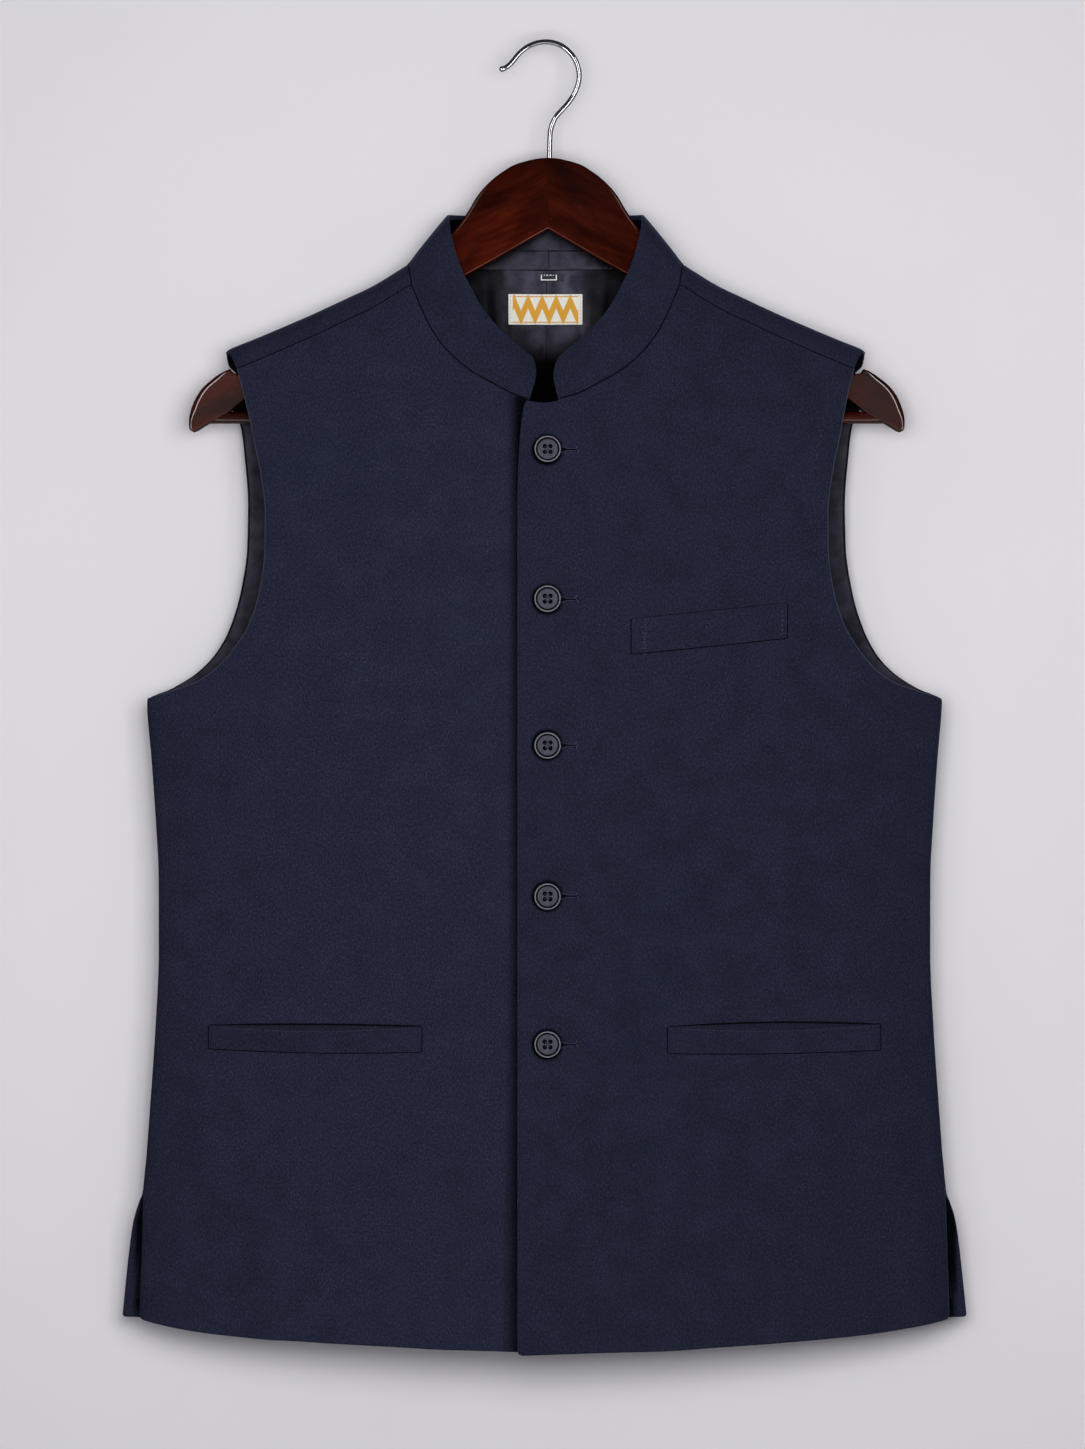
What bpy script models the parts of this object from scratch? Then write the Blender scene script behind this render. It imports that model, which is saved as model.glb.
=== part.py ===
"""A sleeveless stand-collar jacket on a wooden hanger, built at its real size.

Frame: metres, +Z up, +X to the right of someone facing the jacket, +Y towards its back.
The origin is the inside top of the hanger's hook, where a rail would carry it.
Lengths below are millimetres; MM turns them into metres when a mesh is made.
"""

import math

import bmesh
import bpy
from mathutils import Vector
from mathutils.bvhtree import BVHTree

MM = 0.001

# Walls and gaps.
CLOTH = 1.6
LINING = 1.0
PATCH = 1.2
LABEL = 0.6
SEAM_GAP = 0.3

# How the cloth rolls over the hanger: radius of the roll, and how far below the
# ridge the shoulder seam lies on the front.
ROLL = 8.0
QUARTER = math.pi * ROLL / 2
SEAM_DROP = 14.6
FILL_LENGTH = 60.0  # depth of cloth over which the body fills out below the ridge
LENS_POWER = 2.5  # how flat the fronts stay before they turn to the side seam
EDGE_POWER = 8.0
VENT_TOP = -745.0
VENT_SWING = {"front": 4.0, "back": 8.0}
UNDERARM = -427.5

# How far the lining stops short of the back's edges.
LINING_HEM = 12.0
LINING_VENT = 9.0
LINING_SIDE = 6.0
LINING_ARMHOLE = 1.6
LINING_NECK = 1.0

# The ridge of the shoulder: distance from the centre, height.
RIDGE = ((88.8, -142.8), (112.0, -157.4), (150.0, -175.5), (205.7, -197.6))
NECK_RIDGE_SLOPE = 0.3

# Height, half width at the side seam, and the depth at the centre line of the
# front and of the back, beyond the roll.
BODY = (
    (-143.0, 258.4, 30.0, 20.0),
    (-250.0, 258.4, 32.0, 24.0),
    (-330.0, 258.4, 34.0, 25.0),
    (-428.0, 258.4, 35.0, 26.0),
    (-504.0, 252.2, 31.0, 22.0),
    (-560.0, 250.6, 27.0, 19.0),
    (-640.0, 254.0, 26.0, 19.0),
    (-745.0, 262.1, 31.0, 24.0),
    (-850.0, 264.6, 38.0, 31.0),
)

# Sections of a front, from the hem to the underarm: height at the free edge, width
# and height at the side seam, and how far the middle hangs below them.
FRONT_BODY = (
    (-844.3, 263.6, -828.5, 8.0),
    (-800.0, 263.2, -790.0, 2.0),
    (-745.0, 262.1, -745.0, 0.0),
    (-690.0, 257.7, -690.0, 0.0),
    (-640.0, 254.0, -640.0, 0.0),
    (-590.0, 250.9, -590.0, 0.0),
    (-543.0, 250.6, -543.0, 0.0),
    (-504.0, 252.2, -504.0, 0.0),
    (-465.0, 255.3, -463.0, 0.0),
)
# From the underarm up to the neck: height at the free edge, then the armhole.
FRONT_CHEST = (
    (-428.0, 258.4, UNDERARM),
    (-416.0, 243.0, -421.8),
    (-404.0, 228.0, -416.8),
    (-390.0, 213.0, -407.2),
    (-374.0, 200.5, -393.5),
    (-354.0, 190.5, -377.3),
    (-330.0, 184.0, -356.5),
    (-304.0, 180.6, -331.0),
    (-280.0, 180.4, -306.0),
    (-256.0, 183.6, -280.0),
)
# The armhole beside each row of the neckline, from the neck's front end upwards.
FRONT_ARMHOLE = (
    (187.4, -262.0), (189.4, -252.0), (190.9, -244.6), (192.4, -238.0), (193.8, -231.8),
    (195.2, -226.0), (196.6, -220.8), (197.8, -216.4),
)
ARMHOLE_AT_SEAM = 199.0

# Sections of the back: height at the centre, width and height at the outer edge.
BACK_BODY = (
    (-836.0, 275.0, -828.0),
    (-795.0, 272.0, -792.0),
    (-765.0, 267.6, -765.0),
    (-745.0, 262.1, -745.0),
    (-690.0, 257.7, -690.0),
    (-640.0, 254.0, -640.0),
    (-590.0, 250.9, -590.0),
    (-543.0, 250.6, -543.0),
    (-504.0, 252.2, -504.0),
    (-463.0, 255.3, -463.0),
)
BACK_CHEST = (
    (-428.0, 258.4, UNDERARM),
    (-410.0, 243.0, -419.0),
    (-393.0, 228.5, -409.5),
    (-374.0, 216.0, -396.5),
    (-352.0, 206.5, -379.0),
    (-325.0, 199.5, -355.0),
    (-295.0, 195.3, -326.0),
    (-262.0, 194.7, -298.0),
    (-228.0, 196.6, -270.0),
    (-190.0, 199.4, -246.0),
)
# The armhole behind each row of the back neckline, from the centre to the ridge.
BACK_ARMHOLE = ((201.6, -226.0), (202.6, -219.0), (203.6, -212.0), (204.4, -206.5))

# The neckline, from the front end of the collar round to the centre back. A front
# or back row gives a height; a roll row gives how far past the ridge it lies,
# forwards. With each row goes the place of the collar's top edge over it.
NECK = (
    ("front", 10.8, -234.4, 9.2, -24.5, -206.6),
    ("front", 21.0, -230.9, 16.5, -25.0, -200.0),
    ("front", 34.2, -223.9, 25.0, -25.0, -192.6),
    ("front", 48.5, -215.8, 34.5, -24.0, -182.8),
    ("front", 61.8, -204.4, 42.6, -22.0, -172.2),
    ("front", 71.8, -191.8, 48.0, -19.0, -162.0),
    ("front", 79.0, -178.2, 52.0, -16.0, -149.6),
    ("front", 83.9, -166.4, 54.6, -13.0, -140.0),
    ("roll", 86.8, 19.2, 57.2, -14.0, -129.6),
    ("roll", 87.8, 12.0, 59.0, -12.6, -123.4),
    ("roll", 88.4, 8.0, 60.4, -11.0, -119.4),
    ("roll", 88.7, 4.0, 61.6, -8.2, -116.4),
    ("roll", 88.8, 0.0, 62.6, -4.6, -114.2),
    ("roll", 88.6, -4.0, 63.0, 0.0, -112.6),
    ("roll", 87.4, -8.0, 61.6, 5.0, -111.6),
    ("back", 76.0, -145.6, 56.0, 10.5, -110.8),
    ("back", 52.0, -145.3, 41.0, 17.0, -109.8),
    ("back", 26.0, -145.1, 21.0, 21.0, -109.0),
    ("back", 0.0, -145.0, 0.0, 22.5, -108.8),
)
COLLAR_END_BULGE = 4.0
COLLAR_SHARES = (0.022, 0.34, 0.65, 0.94, 1.0)  # of its height; the lining ends a step lower
UNDER_DROP = 3.0  # how far the under front's corner stays below the over front's

# Where the fronts overlap.
OVERLAP = 19.0
OVER_EDGE = 17.6
OVER_CORNER = ((-11.8, -235.0), (-1.0, -236.4))

# Pockets on the fronts: four corners each, clockwise from the top left.
BREAST_WELT = ((55.3, -374.2), (155.0, -364.3), (154.4, -386.2), (55.9, -396.6))
POCKET_WELT = ((78.6, -637.4), (216.0, -637.4), (216.0, -652.0), (78.8, -653.0))

# Labels on the back's lining, in the same way.
MAIN_LABEL = ((-24.6, -160.3), (24.6, -160.3), (24.6, -180.3), (-24.6, -180.3))
SIZE_LABEL = ((-2.9, -146.6), (11.5, -146.6), (11.5, -151.6), (-2.9, -151.6))

# Buttons.
BUTTON_X = 1.3
BUTTON_HEIGHTS = (-265.9, -362.1, -455.6, -552.3, -648.0)
BUTTON_RADIUS = 8.9
BUTTON_THICK = 3.0
BUTTON_SIDES = 20
BUTTON_HOLE_RADIUS = 1.0
BUTTON_HOLE_REACH = 1.75
BUTTON_SECTION = (  # how far in from the rim, how far out from the back
    (1.2, 0.0), (0.0, 1.0), (0.0, 2.2), (0.6, 3.0), (1.6, 3.0), (2.2, 2.3),
)
BUTTON_CENTRE = 2.1

# The hanger.
WOOD_THICK = 12.0
WOOD_ROUND = 3.4
WOOD_CENTRE = 0.8
MITRE_GAP = 0.3
WOOD_TOP = (  # the dip before the tip is the notch for a strap
    (18.9, -78.0), (29.8, -84.0), (38.4, -91.0), (45.2, -98.9), (51.8, -109.8),
    (59.0, -120.0), (72.0, -133.6), (88.8, -147.4), (112.0, -159.9), (150.0, -178.3),
    (180.0, -192.2), (187.0, -203.5), (193.0, -210.6), (199.5, -213.6), (205.6, -211.8),
    (214.0, -215.8), (223.0, -223.2), (228.6, -231.6), (231.9, -241.4), (232.2, -249.0),
)
WOOD_APEX = -74.4
WOOD_TIP = (229.6, -252.2)
WOOD_BOTTOM = (
    (220.1, -246.9), (207.4, -240.2), (194.7, -230.6), (160.0, -210.2),
    (112.0, -182.6), (51.9, -150.4),
)
WOOD_NOTCH = -120.8
BAR_RADIUS = 3.5
BAR_HEIGHT = -243.4
BAR_END = 213.5
BAR_END_SLANT = 0.53
BAR_END_GAP = 0.7
BAR_SIDES = 12

# The hook: a round of wire on a stem, with a short tail.
WIRE_RADIUS = 1.6
HOOK_RADIUS = 22.1
HOOK_STEM = ((2.6, -74.3), (2.6, -66.0), (2.6, -54.6), (4.4, -50.6), (8.6, -45.6))
HOOK_SWEEP = ((13.4, -39.8), (17.6, -33.8))
HOOK_ROUND_DEG = (-20.0, 154.0)
HOOK_TAIL = ((-24.3, -14.4), (-28.6, -16.7))

COLOURS = {
    "cloth": ((0.017, 0.020, 0.040), 0.9, 0.0),
    "lining": ((0.022, 0.021, 0.029), 0.5, 0.0),
    "button": ((0.040, 0.043, 0.060), 0.35, 0.0),
    "label": ((0.62, 0.56, 0.45), 0.6, 0.0),
    "size_label": ((0.02, 0.022, 0.04), 0.7, 0.0),
    "wood": ((0.045, 0.010, 0.005), 0.35, 0.0),
    "chrome": ((0.62, 0.62, 0.64), 0.15, 1.0),
}
FORWARD = Vector((0.0, -1.0, 0.0))
BACKWARD = Vector((0.0, 1.0, 0.0))


# ---------------------------------------------------------------- shape rules

def smooth(t):
    """Eases from 0 to 1 as t goes from 0 to 1."""
    t = min(max(t, 0.0), 1.0)
    return t * t * (3.0 - 2.0 * t)


def along(rows, key):
    """The columns of a table at a key, straight between its rows."""
    rows = sorted(rows)
    key = min(max(key, rows[0][0]), rows[-1][0])
    for low, high in zip(rows, rows[1:]):
        if key <= high[0]:
            t = (key - low[0]) / (high[0] - low[0])
            return [a + (b - a) * t for a, b in zip(low[1:], high[1:])]
    return list(rows[-1][1:])


def curve_through(points, t):
    """A point on the smooth curve through the points; t counts them from 0."""
    i = min(int(t), len(points) - 2)
    f = t - i
    p1, p2 = points[i], points[i + 1]
    p0 = points[i - 1] if i > 0 else 2 * p1 - p2
    p3 = points[i + 2] if i + 2 < len(points) else 2 * p2 - p1
    bend = (2 * p0 - 5 * p1 + 4 * p2 - p3) * f * f + (3 * p1 - p0 - 3 * p2 + p3) * f ** 3
    return 0.5 * (2 * p1 + (p2 - p0) * f + bend)


def ridge(x):
    """Height of the shoulder's ridge at a distance from the centre."""
    x = abs(x)
    neck_x, neck_z = RIDGE[0]
    if x < neck_x:
        return neck_z + (neck_x - x) * NECK_RIDGE_SLOPE
    return along(RIDGE, x)[0]


def body_depth(x, drop, z, roll, where):
    """Distance of the cloth's inner face from the middle plane, drop below the ridge."""
    half, front_depth, back_depth = along(BODY, z)
    share = min(abs(x) / half, 1.0)
    centre = front_depth if where == "front" else back_depth
    filled = 1.0 - math.exp(-drop / FILL_LENGTH)
    depth = centre * filled * (1.0 - share ** LENS_POWER)
    side = math.sqrt(1.0 - share ** EDGE_POWER)
    swing = VENT_SWING[where] * smooth((VENT_TOP - z) / 60.0) * smooth(share * 4.0 - 3.0)
    return depth + roll * side + SEAM_GAP / 2 * share ** EDGE_POWER + swing


def front_point(x, z, lift=0.0):
    """A point of a front's inner face."""
    drop = max(ridge(x) - z, ROLL)
    return Vector((x, -body_depth(x, drop, z, ROLL, "front") - lift, z))


def roll_point(x, over):
    """A point of the back's inner face. over is how far the cloth has come past the
    ridge towards the front; behind the ridge it is less than 0."""
    if abs(over) < QUARTER:
        angle = abs(over) / ROLL
        drop, roll = ROLL * (1 - math.cos(angle)), ROLL * math.sin(angle)
    else:
        drop, roll = ROLL + abs(over) - QUARTER, ROLL
    z = ridge(x) - drop
    if over > 0:
        return Vector((x, -body_depth(x, drop, z, roll, "front"), z))
    return Vector((x, body_depth(x, drop, z, roll, "back"), z))


def behind(x, z):
    """How far past the ridge a place behind it at height z lies, always below 0."""
    drop = ridge(x) - z
    if drop < ROLL:
        return -ROLL * math.acos(1.0 - drop / ROLL)
    return -(drop - ROLL + QUARTER)


# -------------------------------------------------------------- mesh builders

def material(name):
    if name in bpy.data.materials:
        return bpy.data.materials[name]
    colour, roughness, metallic = COLOURS[name]
    made = bpy.data.materials.new(name)
    made.use_nodes = True
    shader = made.node_tree.nodes["Principled BSDF"]
    shader.inputs["Base Color"].default_value = (*colour, 1.0)
    shader.inputs["Roughness"].default_value = roughness
    shader.inputs["Metallic"].default_value = metallic
    return made


def object_from(name, solid, finish):
    """Makes the object of a bmesh whose sizes are millimetres."""
    bmesh.ops.scale(solid, vec=(MM, MM, MM), verts=solid.verts)
    mesh = bpy.data.meshes.new(name)
    solid.to_mesh(mesh)
    mesh.shade_smooth()
    mesh.set_sharp_from_angle(angle=math.radians(40))
    mesh.materials.append(material(finish))
    made = bpy.data.objects.new(name, mesh)
    bpy.context.scene.collection.objects.link(made)
    return made


def grid_sheet(rows, facing):
    """A sheet of triangles through rows of points, turned to face a direction."""
    sheet = bmesh.new()
    made = [[sheet.verts.new(point) for point in row] for row in rows]
    for low, high in zip(made, made[1:]):
        for corners in zip(low, low[1:], high[1:], high):
            sheet.faces.new(corners)
    return finish_sheet(sheet, facing)


def finish_sheet(sheet, facing):
    """Splits a sheet into triangles and turns it to face a direction, or away from
    the vertical axis if none is given."""
    bmesh.ops.triangulate(sheet, faces=sheet.faces, quad_method="BEAUTY")
    sheet.normal_update()
    turned = 0.0
    for face in sheet.faces:
        centre = face.calc_center_median()
        outward = facing or Vector((centre.x, centre.y, 0.0)).normalized()
        turned += face.normal.dot(outward) * face.calc_area()
    if turned < 0:
        bmesh.ops.reverse_faces(sheet, faces=sheet.faces)
    sheet.normal_update()
    return sheet


def thickened(name, sheet, finish, thickness, offset=1.0):
    """The solid wall of a sheet, which is its inner face with an offset of 1."""
    made = object_from(name, sheet.copy(), finish)
    wall = made.modifiers.new("wall", "SOLIDIFY")
    wall.thickness = thickness * MM
    wall.offset = offset
    wall.use_even_offset = True
    return made


def shifted(sheet, distance):
    """A copy of a sheet, moved along its own normals."""
    moved = sheet.copy()
    moved.normal_update()
    places = [vertex.co + vertex.normal * distance for vertex in moved.verts]
    for vertex, place in zip(moved.verts, places):
        vertex.co = place
    moved.normal_update()
    return moved


def cut_out(sheet, corners):
    """The part of a sheet inside four corners, given clockwise from the top left."""
    piece = sheet.copy()
    outline = [Vector((x, 0.0, z)) for x, z in corners]
    for start, end in zip(outline, outline[1:] + outline[:1]):
        outside = (end - start).cross(BACKWARD)
        everything = list(piece.verts) + list(piece.edges) + list(piece.faces)
        bmesh.ops.bisect_plane(
            piece, geom=everything, dist=0.0001, plane_co=start, plane_no=outside,
            clear_outer=True,
        )
    bmesh.ops.triangulate(piece, faces=piece.faces)
    piece.normal_update()
    return piece


# ------------------------------------------------------------------ the panels

def columns(count=10):
    """Shares across a panel, closer together towards its outer edge."""
    return [1.0 - (1.0 - i / (count - 1)) ** 1.25 for i in range(count)]


def free_edge(over):
    return -OVER_EDGE if over else -OVERLAP


def over_lift(x, over):
    """How far a front stands out where the fronts overlap."""
    if over:
        return (CLOTH + 3 * SEAM_GAP) * (1.0 - smooth((x - OVERLAP - 1.0) / 45.0))
    return -2 * SEAM_GAP * (1.0 - smooth((x + OVERLAP) / 30.0))


def front_sections(over):
    """The sections of a front: its inner end, its outer end, the sag of its middle."""
    edge = free_edge(over)
    for edge_z, side_x, side_z, sag in FRONT_BODY:
        yield (edge, edge_z), (side_x, side_z), sag
    for edge_z, arm_x, arm_z in FRONT_CHEST:
        lean = 2.6 * smooth((edge_z + 300.0) / 66.0) if over else 0.0
        yield (edge + lean, edge_z), (arm_x, arm_z), 0.0
    drop = 0.0 if over else UNDER_DROP
    corners = OVER_CORNER if over else ((edge, OVER_CORNER[0][1]), OVER_CORNER[1])
    for (x, z), arm in zip(corners, ((184.6, -274.0), (186.0, -268.0))):
        yield (x, z - drop), arm, 0.0
    neck = [(x, z) for where, x, z, *top in NECK if where == "front"]
    for inner, arm in zip(neck, FRONT_ARMHOLE):
        yield inner, arm, 0.0
    yield (NECK[len(neck)][1], None), (ARMHOLE_AT_SEAM, None), 0.0


def front_sheet(over):
    """The inner face of a front, as if it were the one on the right."""
    rows = []
    for (inner_x, inner_z), (outer_x, outer_z), sag in front_sections(over):
        row = []
        for share in columns():
            x = inner_x + (outer_x - inner_x) * share
            if inner_z is None:
                z = ridge(x) - SEAM_DROP - SEAM_GAP / 2
            else:
                z = inner_z + (outer_z - inner_z) * share - sag * math.sin(math.pi * share ** 1.15)
            row.append(front_point(x, z, over_lift(x, over)))
        rows.append(row)
    return grid_sheet(rows, FORWARD)


def mirrored(sheet):
    other = sheet.copy()
    for vertex in other.verts:
        vertex.co.x = -vertex.co.x
    bmesh.ops.reverse_faces(other, faces=other.faces)
    other.normal_update()
    return other


def back_sections():
    """Half sections of the back, from hem to shoulder: both ends as (x, over)."""
    for middle_z, x, z in BACK_BODY + BACK_CHEST:
        yield (0.0, behind(0.0, middle_z)), (x, behind(x, z))
    neck = [(x, z) for where, x, z, *top in reversed(NECK) if where == "back"]
    for (inner_x, inner_z), (x, z) in zip(neck, BACK_ARMHOLE):
        yield (inner_x, behind(inner_x, inner_z)), (x, behind(x, z))
    roll = [(x, over) for where, x, over, *top in reversed(NECK) if where == "roll"]
    seam = SEAM_DROP - SEAM_GAP / 2 - ROLL + QUARTER
    reach = RIDGE[-1][0] - ARMHOLE_AT_SEAM
    for inner_x, over in roll:
        over = min(over, seam)
        yield (inner_x, over), (RIDGE[-1][0] - reach * max(over, 0.0) / seam, over)


def back_rows():
    """The points of the right half of the back's inner face, row by row."""
    rows = []
    for (inner_x, inner_over), (outer_x, outer_over) in back_sections():
        inner_v, outer_v = ridge(inner_x) + inner_over, ridge(outer_x) + outer_over
        row = []
        for share in columns():
            x = inner_x + (outer_x - inner_x) * share
            if outer_over == inner_over:
                over = inner_over
            else:
                over = inner_v + (outer_v - inner_v) * share - ridge(x)
            row.append(roll_point(x, over))
        rows.append(row)
    return rows


def moved_to(point, other, distance):
    return point.lerp(other, distance / (other - point).length)


def lining_rows(rows):
    """The back's rows with their margins taken off: the lining stops short of the
    hem, the vents, the side seams, the armholes and the neck."""
    neck_start = len(BACK_BODY) + len(BACK_CHEST)
    rows = [list(row) for row in rows[: neck_start + len(BACK_ARMHOLE)]]
    rows[0] = [moved_to(low, high, LINING_HEM) for low, high in zip(rows[0], rows[1])]
    for i, row in enumerate(rows):
        margin = LINING_ARMHOLE
        if i <= len(BACK_BODY):
            margin = LINING_VENT if row[-1].z < VENT_TOP else LINING_SIDE
        row[-1] = moved_to(row[-1], row[-2], margin)
        if i > neck_start:
            row[0] = moved_to(row[0], row[1], LINING_NECK)
    rows[neck_start][0] = moved_to(rows[neck_start][0], rows[neck_start - 1][0], LINING_NECK)
    return rows


def whole_sheet(halves):
    """A sheet through rows of the right half and their mirror image."""
    sheet = bmesh.new()
    for side in (1.0, -1.0):
        rows = [[sheet.verts.new((p.x * side, p.y, p.z)) for p in row] for row in halves]
        for low, high in zip(rows, rows[1:]):
            for corners in zip(low, low[1:], high[1:], high):
                sheet.faces.new(corners if side > 0 else tuple(reversed(corners)))
    bmesh.ops.remove_doubles(sheet, verts=sheet.verts, dist=0.01)
    return finish_sheet(sheet, BACKWARD)


# ------------------------------------------------------------------ the collar

def collar_stations():
    """The lower and upper edge of the collar, from its front end to the centre back."""
    for where, x, height, top_x, top_y, top_z in NECK:
        if where == "front":
            base = front_point(x, height)
        elif where == "roll":
            base = roll_point(x, height)
        else:
            base = roll_point(x, behind(x, height))
        yield base, Vector((top_x, top_y, top_z))


def collar_sheet(shares):
    """The collar's inner face, a row for each share of its height."""
    half = list(collar_stations())
    ring = [(Vector((-b.x, b.y, b.z)), Vector((-t.x, t.y, t.z))) for b, t in half[:-1]]
    ring += reversed(half)
    made = []
    for share in shares:
        row = [base.lerp(top, share) for base, top in ring]
        bulge = COLLAR_END_BULGE * math.sin(math.pi * share)
        row[0].x += bulge
        row[-1].x -= bulge
        made.append(row)
    return grid_sheet(made, None)


# --------------------------------------------------------------------- buttons

def button_disc():
    """A four-hole button before its holes are cut. It faces -Y; its back is at y = 0."""
    profile = [(0.0, 0.0)]
    profile += [(BUTTON_RADIUS - inset, depth) for inset, depth in BUTTON_SECTION]
    profile.append((0.0, BUTTON_CENTRE))
    disc = bmesh.new()
    line = [disc.verts.new((r, -depth, 0.0)) for r, depth in profile]
    edges = [disc.edges.new(pair) for pair in zip(line, line[1:])]
    bmesh.ops.spin(
        disc, geom=line + edges, cent=(0, 0, 0), axis=(0, 1, 0),
        angle=2 * math.pi, steps=BUTTON_SIDES, use_merge=True,
    )
    bmesh.ops.remove_doubles(disc, verts=disc.verts, dist=0.001)
    bmesh.ops.recalc_face_normals(disc, faces=disc.faces)
    return disc


def hole_pins():
    """Four pins that cut a button's holes."""
    pins = bmesh.new()
    for side_x in (-1, 1):
        for side_z in (-1, 1):
            pin = bmesh.ops.create_cone(
                pins, cap_ends=True, segments=6, radius1=BUTTON_HOLE_RADIUS,
                radius2=BUTTON_HOLE_RADIUS, depth=BUTTON_THICK * 3,
            )
            for vertex in pin["verts"]:
                x, y, z = vertex.co
                reach_x, reach_z = side_x * BUTTON_HOLE_REACH, side_z * BUTTON_HOLE_REACH
                vertex.co = (x + reach_x, z, reach_z - y)
    bmesh.ops.recalc_face_normals(pins, faces=pins.faces)
    return pins


def button(number, height, cloth):
    """A button seated on the outer face of a sheet, and its cutter beside it."""
    tree = BVHTree.FromBMesh(cloth)
    reach = BUTTON_RADIUS - 1.0
    start = -200.0
    depths = []
    for step in range(8):
        angle = math.pi * step / 4
        x, z = BUTTON_X + reach * math.cos(angle), height + reach * math.sin(angle)
        depths.append(tree.ray_cast(Vector((x, start, z)), BACKWARD)[0].y)
    slope = math.atan2(depths[6] - depths[2], 2 * reach)
    seat = sum(depths) / len(depths)
    made = object_from(f"button_{number}", button_disc(), "button")
    cutter = object_from(f"button_{number}_holes", hole_pins(), "button")
    cutter.hide_render = True
    cutter.display_type = "WIRE"
    for item in (made, cutter):
        item.location = Vector((BUTTON_X, seat, height)) * MM
        item.rotation_euler = (slope, 0.0, 0.0)
    cut = made.modifiers.new("holes", "BOOLEAN")
    cut.operation = "DIFFERENCE"
    cut.object = cutter


# ------------------------------------------------------------------ the hanger

def hanger_arm(name, side):
    """Half of the wooden hanger, glued to the other half at the centre."""
    inner = MITRE_GAP / 2
    outline = [(inner, WOOD_APEX), *WOOD_TOP, WOOD_TIP, *WOOD_BOTTOM, (inner, WOOD_NOTCH)]
    arm = bmesh.new()
    low = [arm.verts.new((x, -WOOD_THICK / 2, z)) for x, z in outline]
    face = arm.faces.new(low)
    for item in bmesh.ops.extrude_face_region(arm, geom=[face])["geom"]:
        if isinstance(item, bmesh.types.BMVert):
            item.co.y = WOOD_THICK / 2
    rims = []
    for edge in arm.edges:
        first, second = (vertex.co for vertex in edge.verts)
        at_mitre = first.x < inner + 0.01 and second.x < inner + 0.01
        if abs(first.y - second.y) < 0.01 and not at_mitre:
            rims.append(edge)
    bmesh.ops.bevel(
        arm, geom=rims, offset=WOOD_ROUND, segments=3, profile=0.5,
        affect="EDGES", clamp_overlap=False,
    )
    for vertex in arm.verts:
        vertex.co.x = side * max(vertex.co.x, inner) + WOOD_CENTRE
    bmesh.ops.remove_doubles(arm, verts=arm.verts, dist=0.01)
    bmesh.ops.recalc_face_normals(arm, faces=arm.faces)
    return object_from(name, arm, "wood")


def hanger_bar():
    """The round bar between the arms' tips, its ends cut to lie against them."""
    bar = bmesh.new()
    rings = []
    for end in (-1, 0, 1):
        ring = []
        for i in range(BAR_SIDES):
            angle = 2 * math.pi * i / BAR_SIDES
            y, z = BAR_RADIUS * math.cos(angle), BAR_RADIUS * math.sin(angle)
            x = end * (BAR_END - z / BAR_END_SLANT - BAR_END_GAP)
            ring.append(bar.verts.new((x + WOOD_CENTRE, y, BAR_HEIGHT + z)))
        rings.append(ring)
    for first, second in zip(rings, rings[1:]):
        for i in range(BAR_SIDES):
            j = (i + 1) % BAR_SIDES
            bar.faces.new((first[i], first[j], second[j], second[i]))
    bar.faces.new(rings[0])
    bar.faces.new(reversed(rings[-1]))
    bmesh.ops.recalc_face_normals(bar, faces=bar.faces)
    return object_from("hanger_bar", bar, "wood")


def hook_route():
    """The wire's centre line, from the foot of its stem round to its tail."""
    centre_z = WIRE_RADIUS - HOOK_RADIUS
    first, last = HOOK_ROUND_DEG
    steps = 12
    bend = []
    for i in range(steps + 1):
        angle = math.radians(first + (last - first) * i / steps)
        bend.append((HOOK_RADIUS * math.cos(angle), centre_z + HOOK_RADIUS * math.sin(angle)))
    return [Vector(point) for point in (*HOOK_STEM, *HOOK_SWEEP, *bend, *HOOK_TAIL)]


def hook():
    """The hook as a bevelled curve with closed ends."""
    route = hook_route()
    curve = bpy.data.curves.new("hook", "CURVE")
    curve.dimensions = "3D"
    curve.bevel_depth = WIRE_RADIUS * MM
    curve.bevel_resolution = 2
    curve.use_fill_caps = True
    count = 40
    points = [curve_through(route, (len(route) - 1) * i / (count - 1)) for i in range(count)]
    spline = curve.splines.new("POLY")
    spline.points.add(count - 1)
    for slot, point in zip(spline.points, points):
        slot.co = (point.x * MM, 0.0, point.y * MM, 1.0)
    curve.materials.append(material("chrome"))
    made = bpy.data.objects.new("hook", curve)
    bpy.context.scene.collection.objects.link(made)
    return made


# --------------------------------------------------------------------- the job

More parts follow.
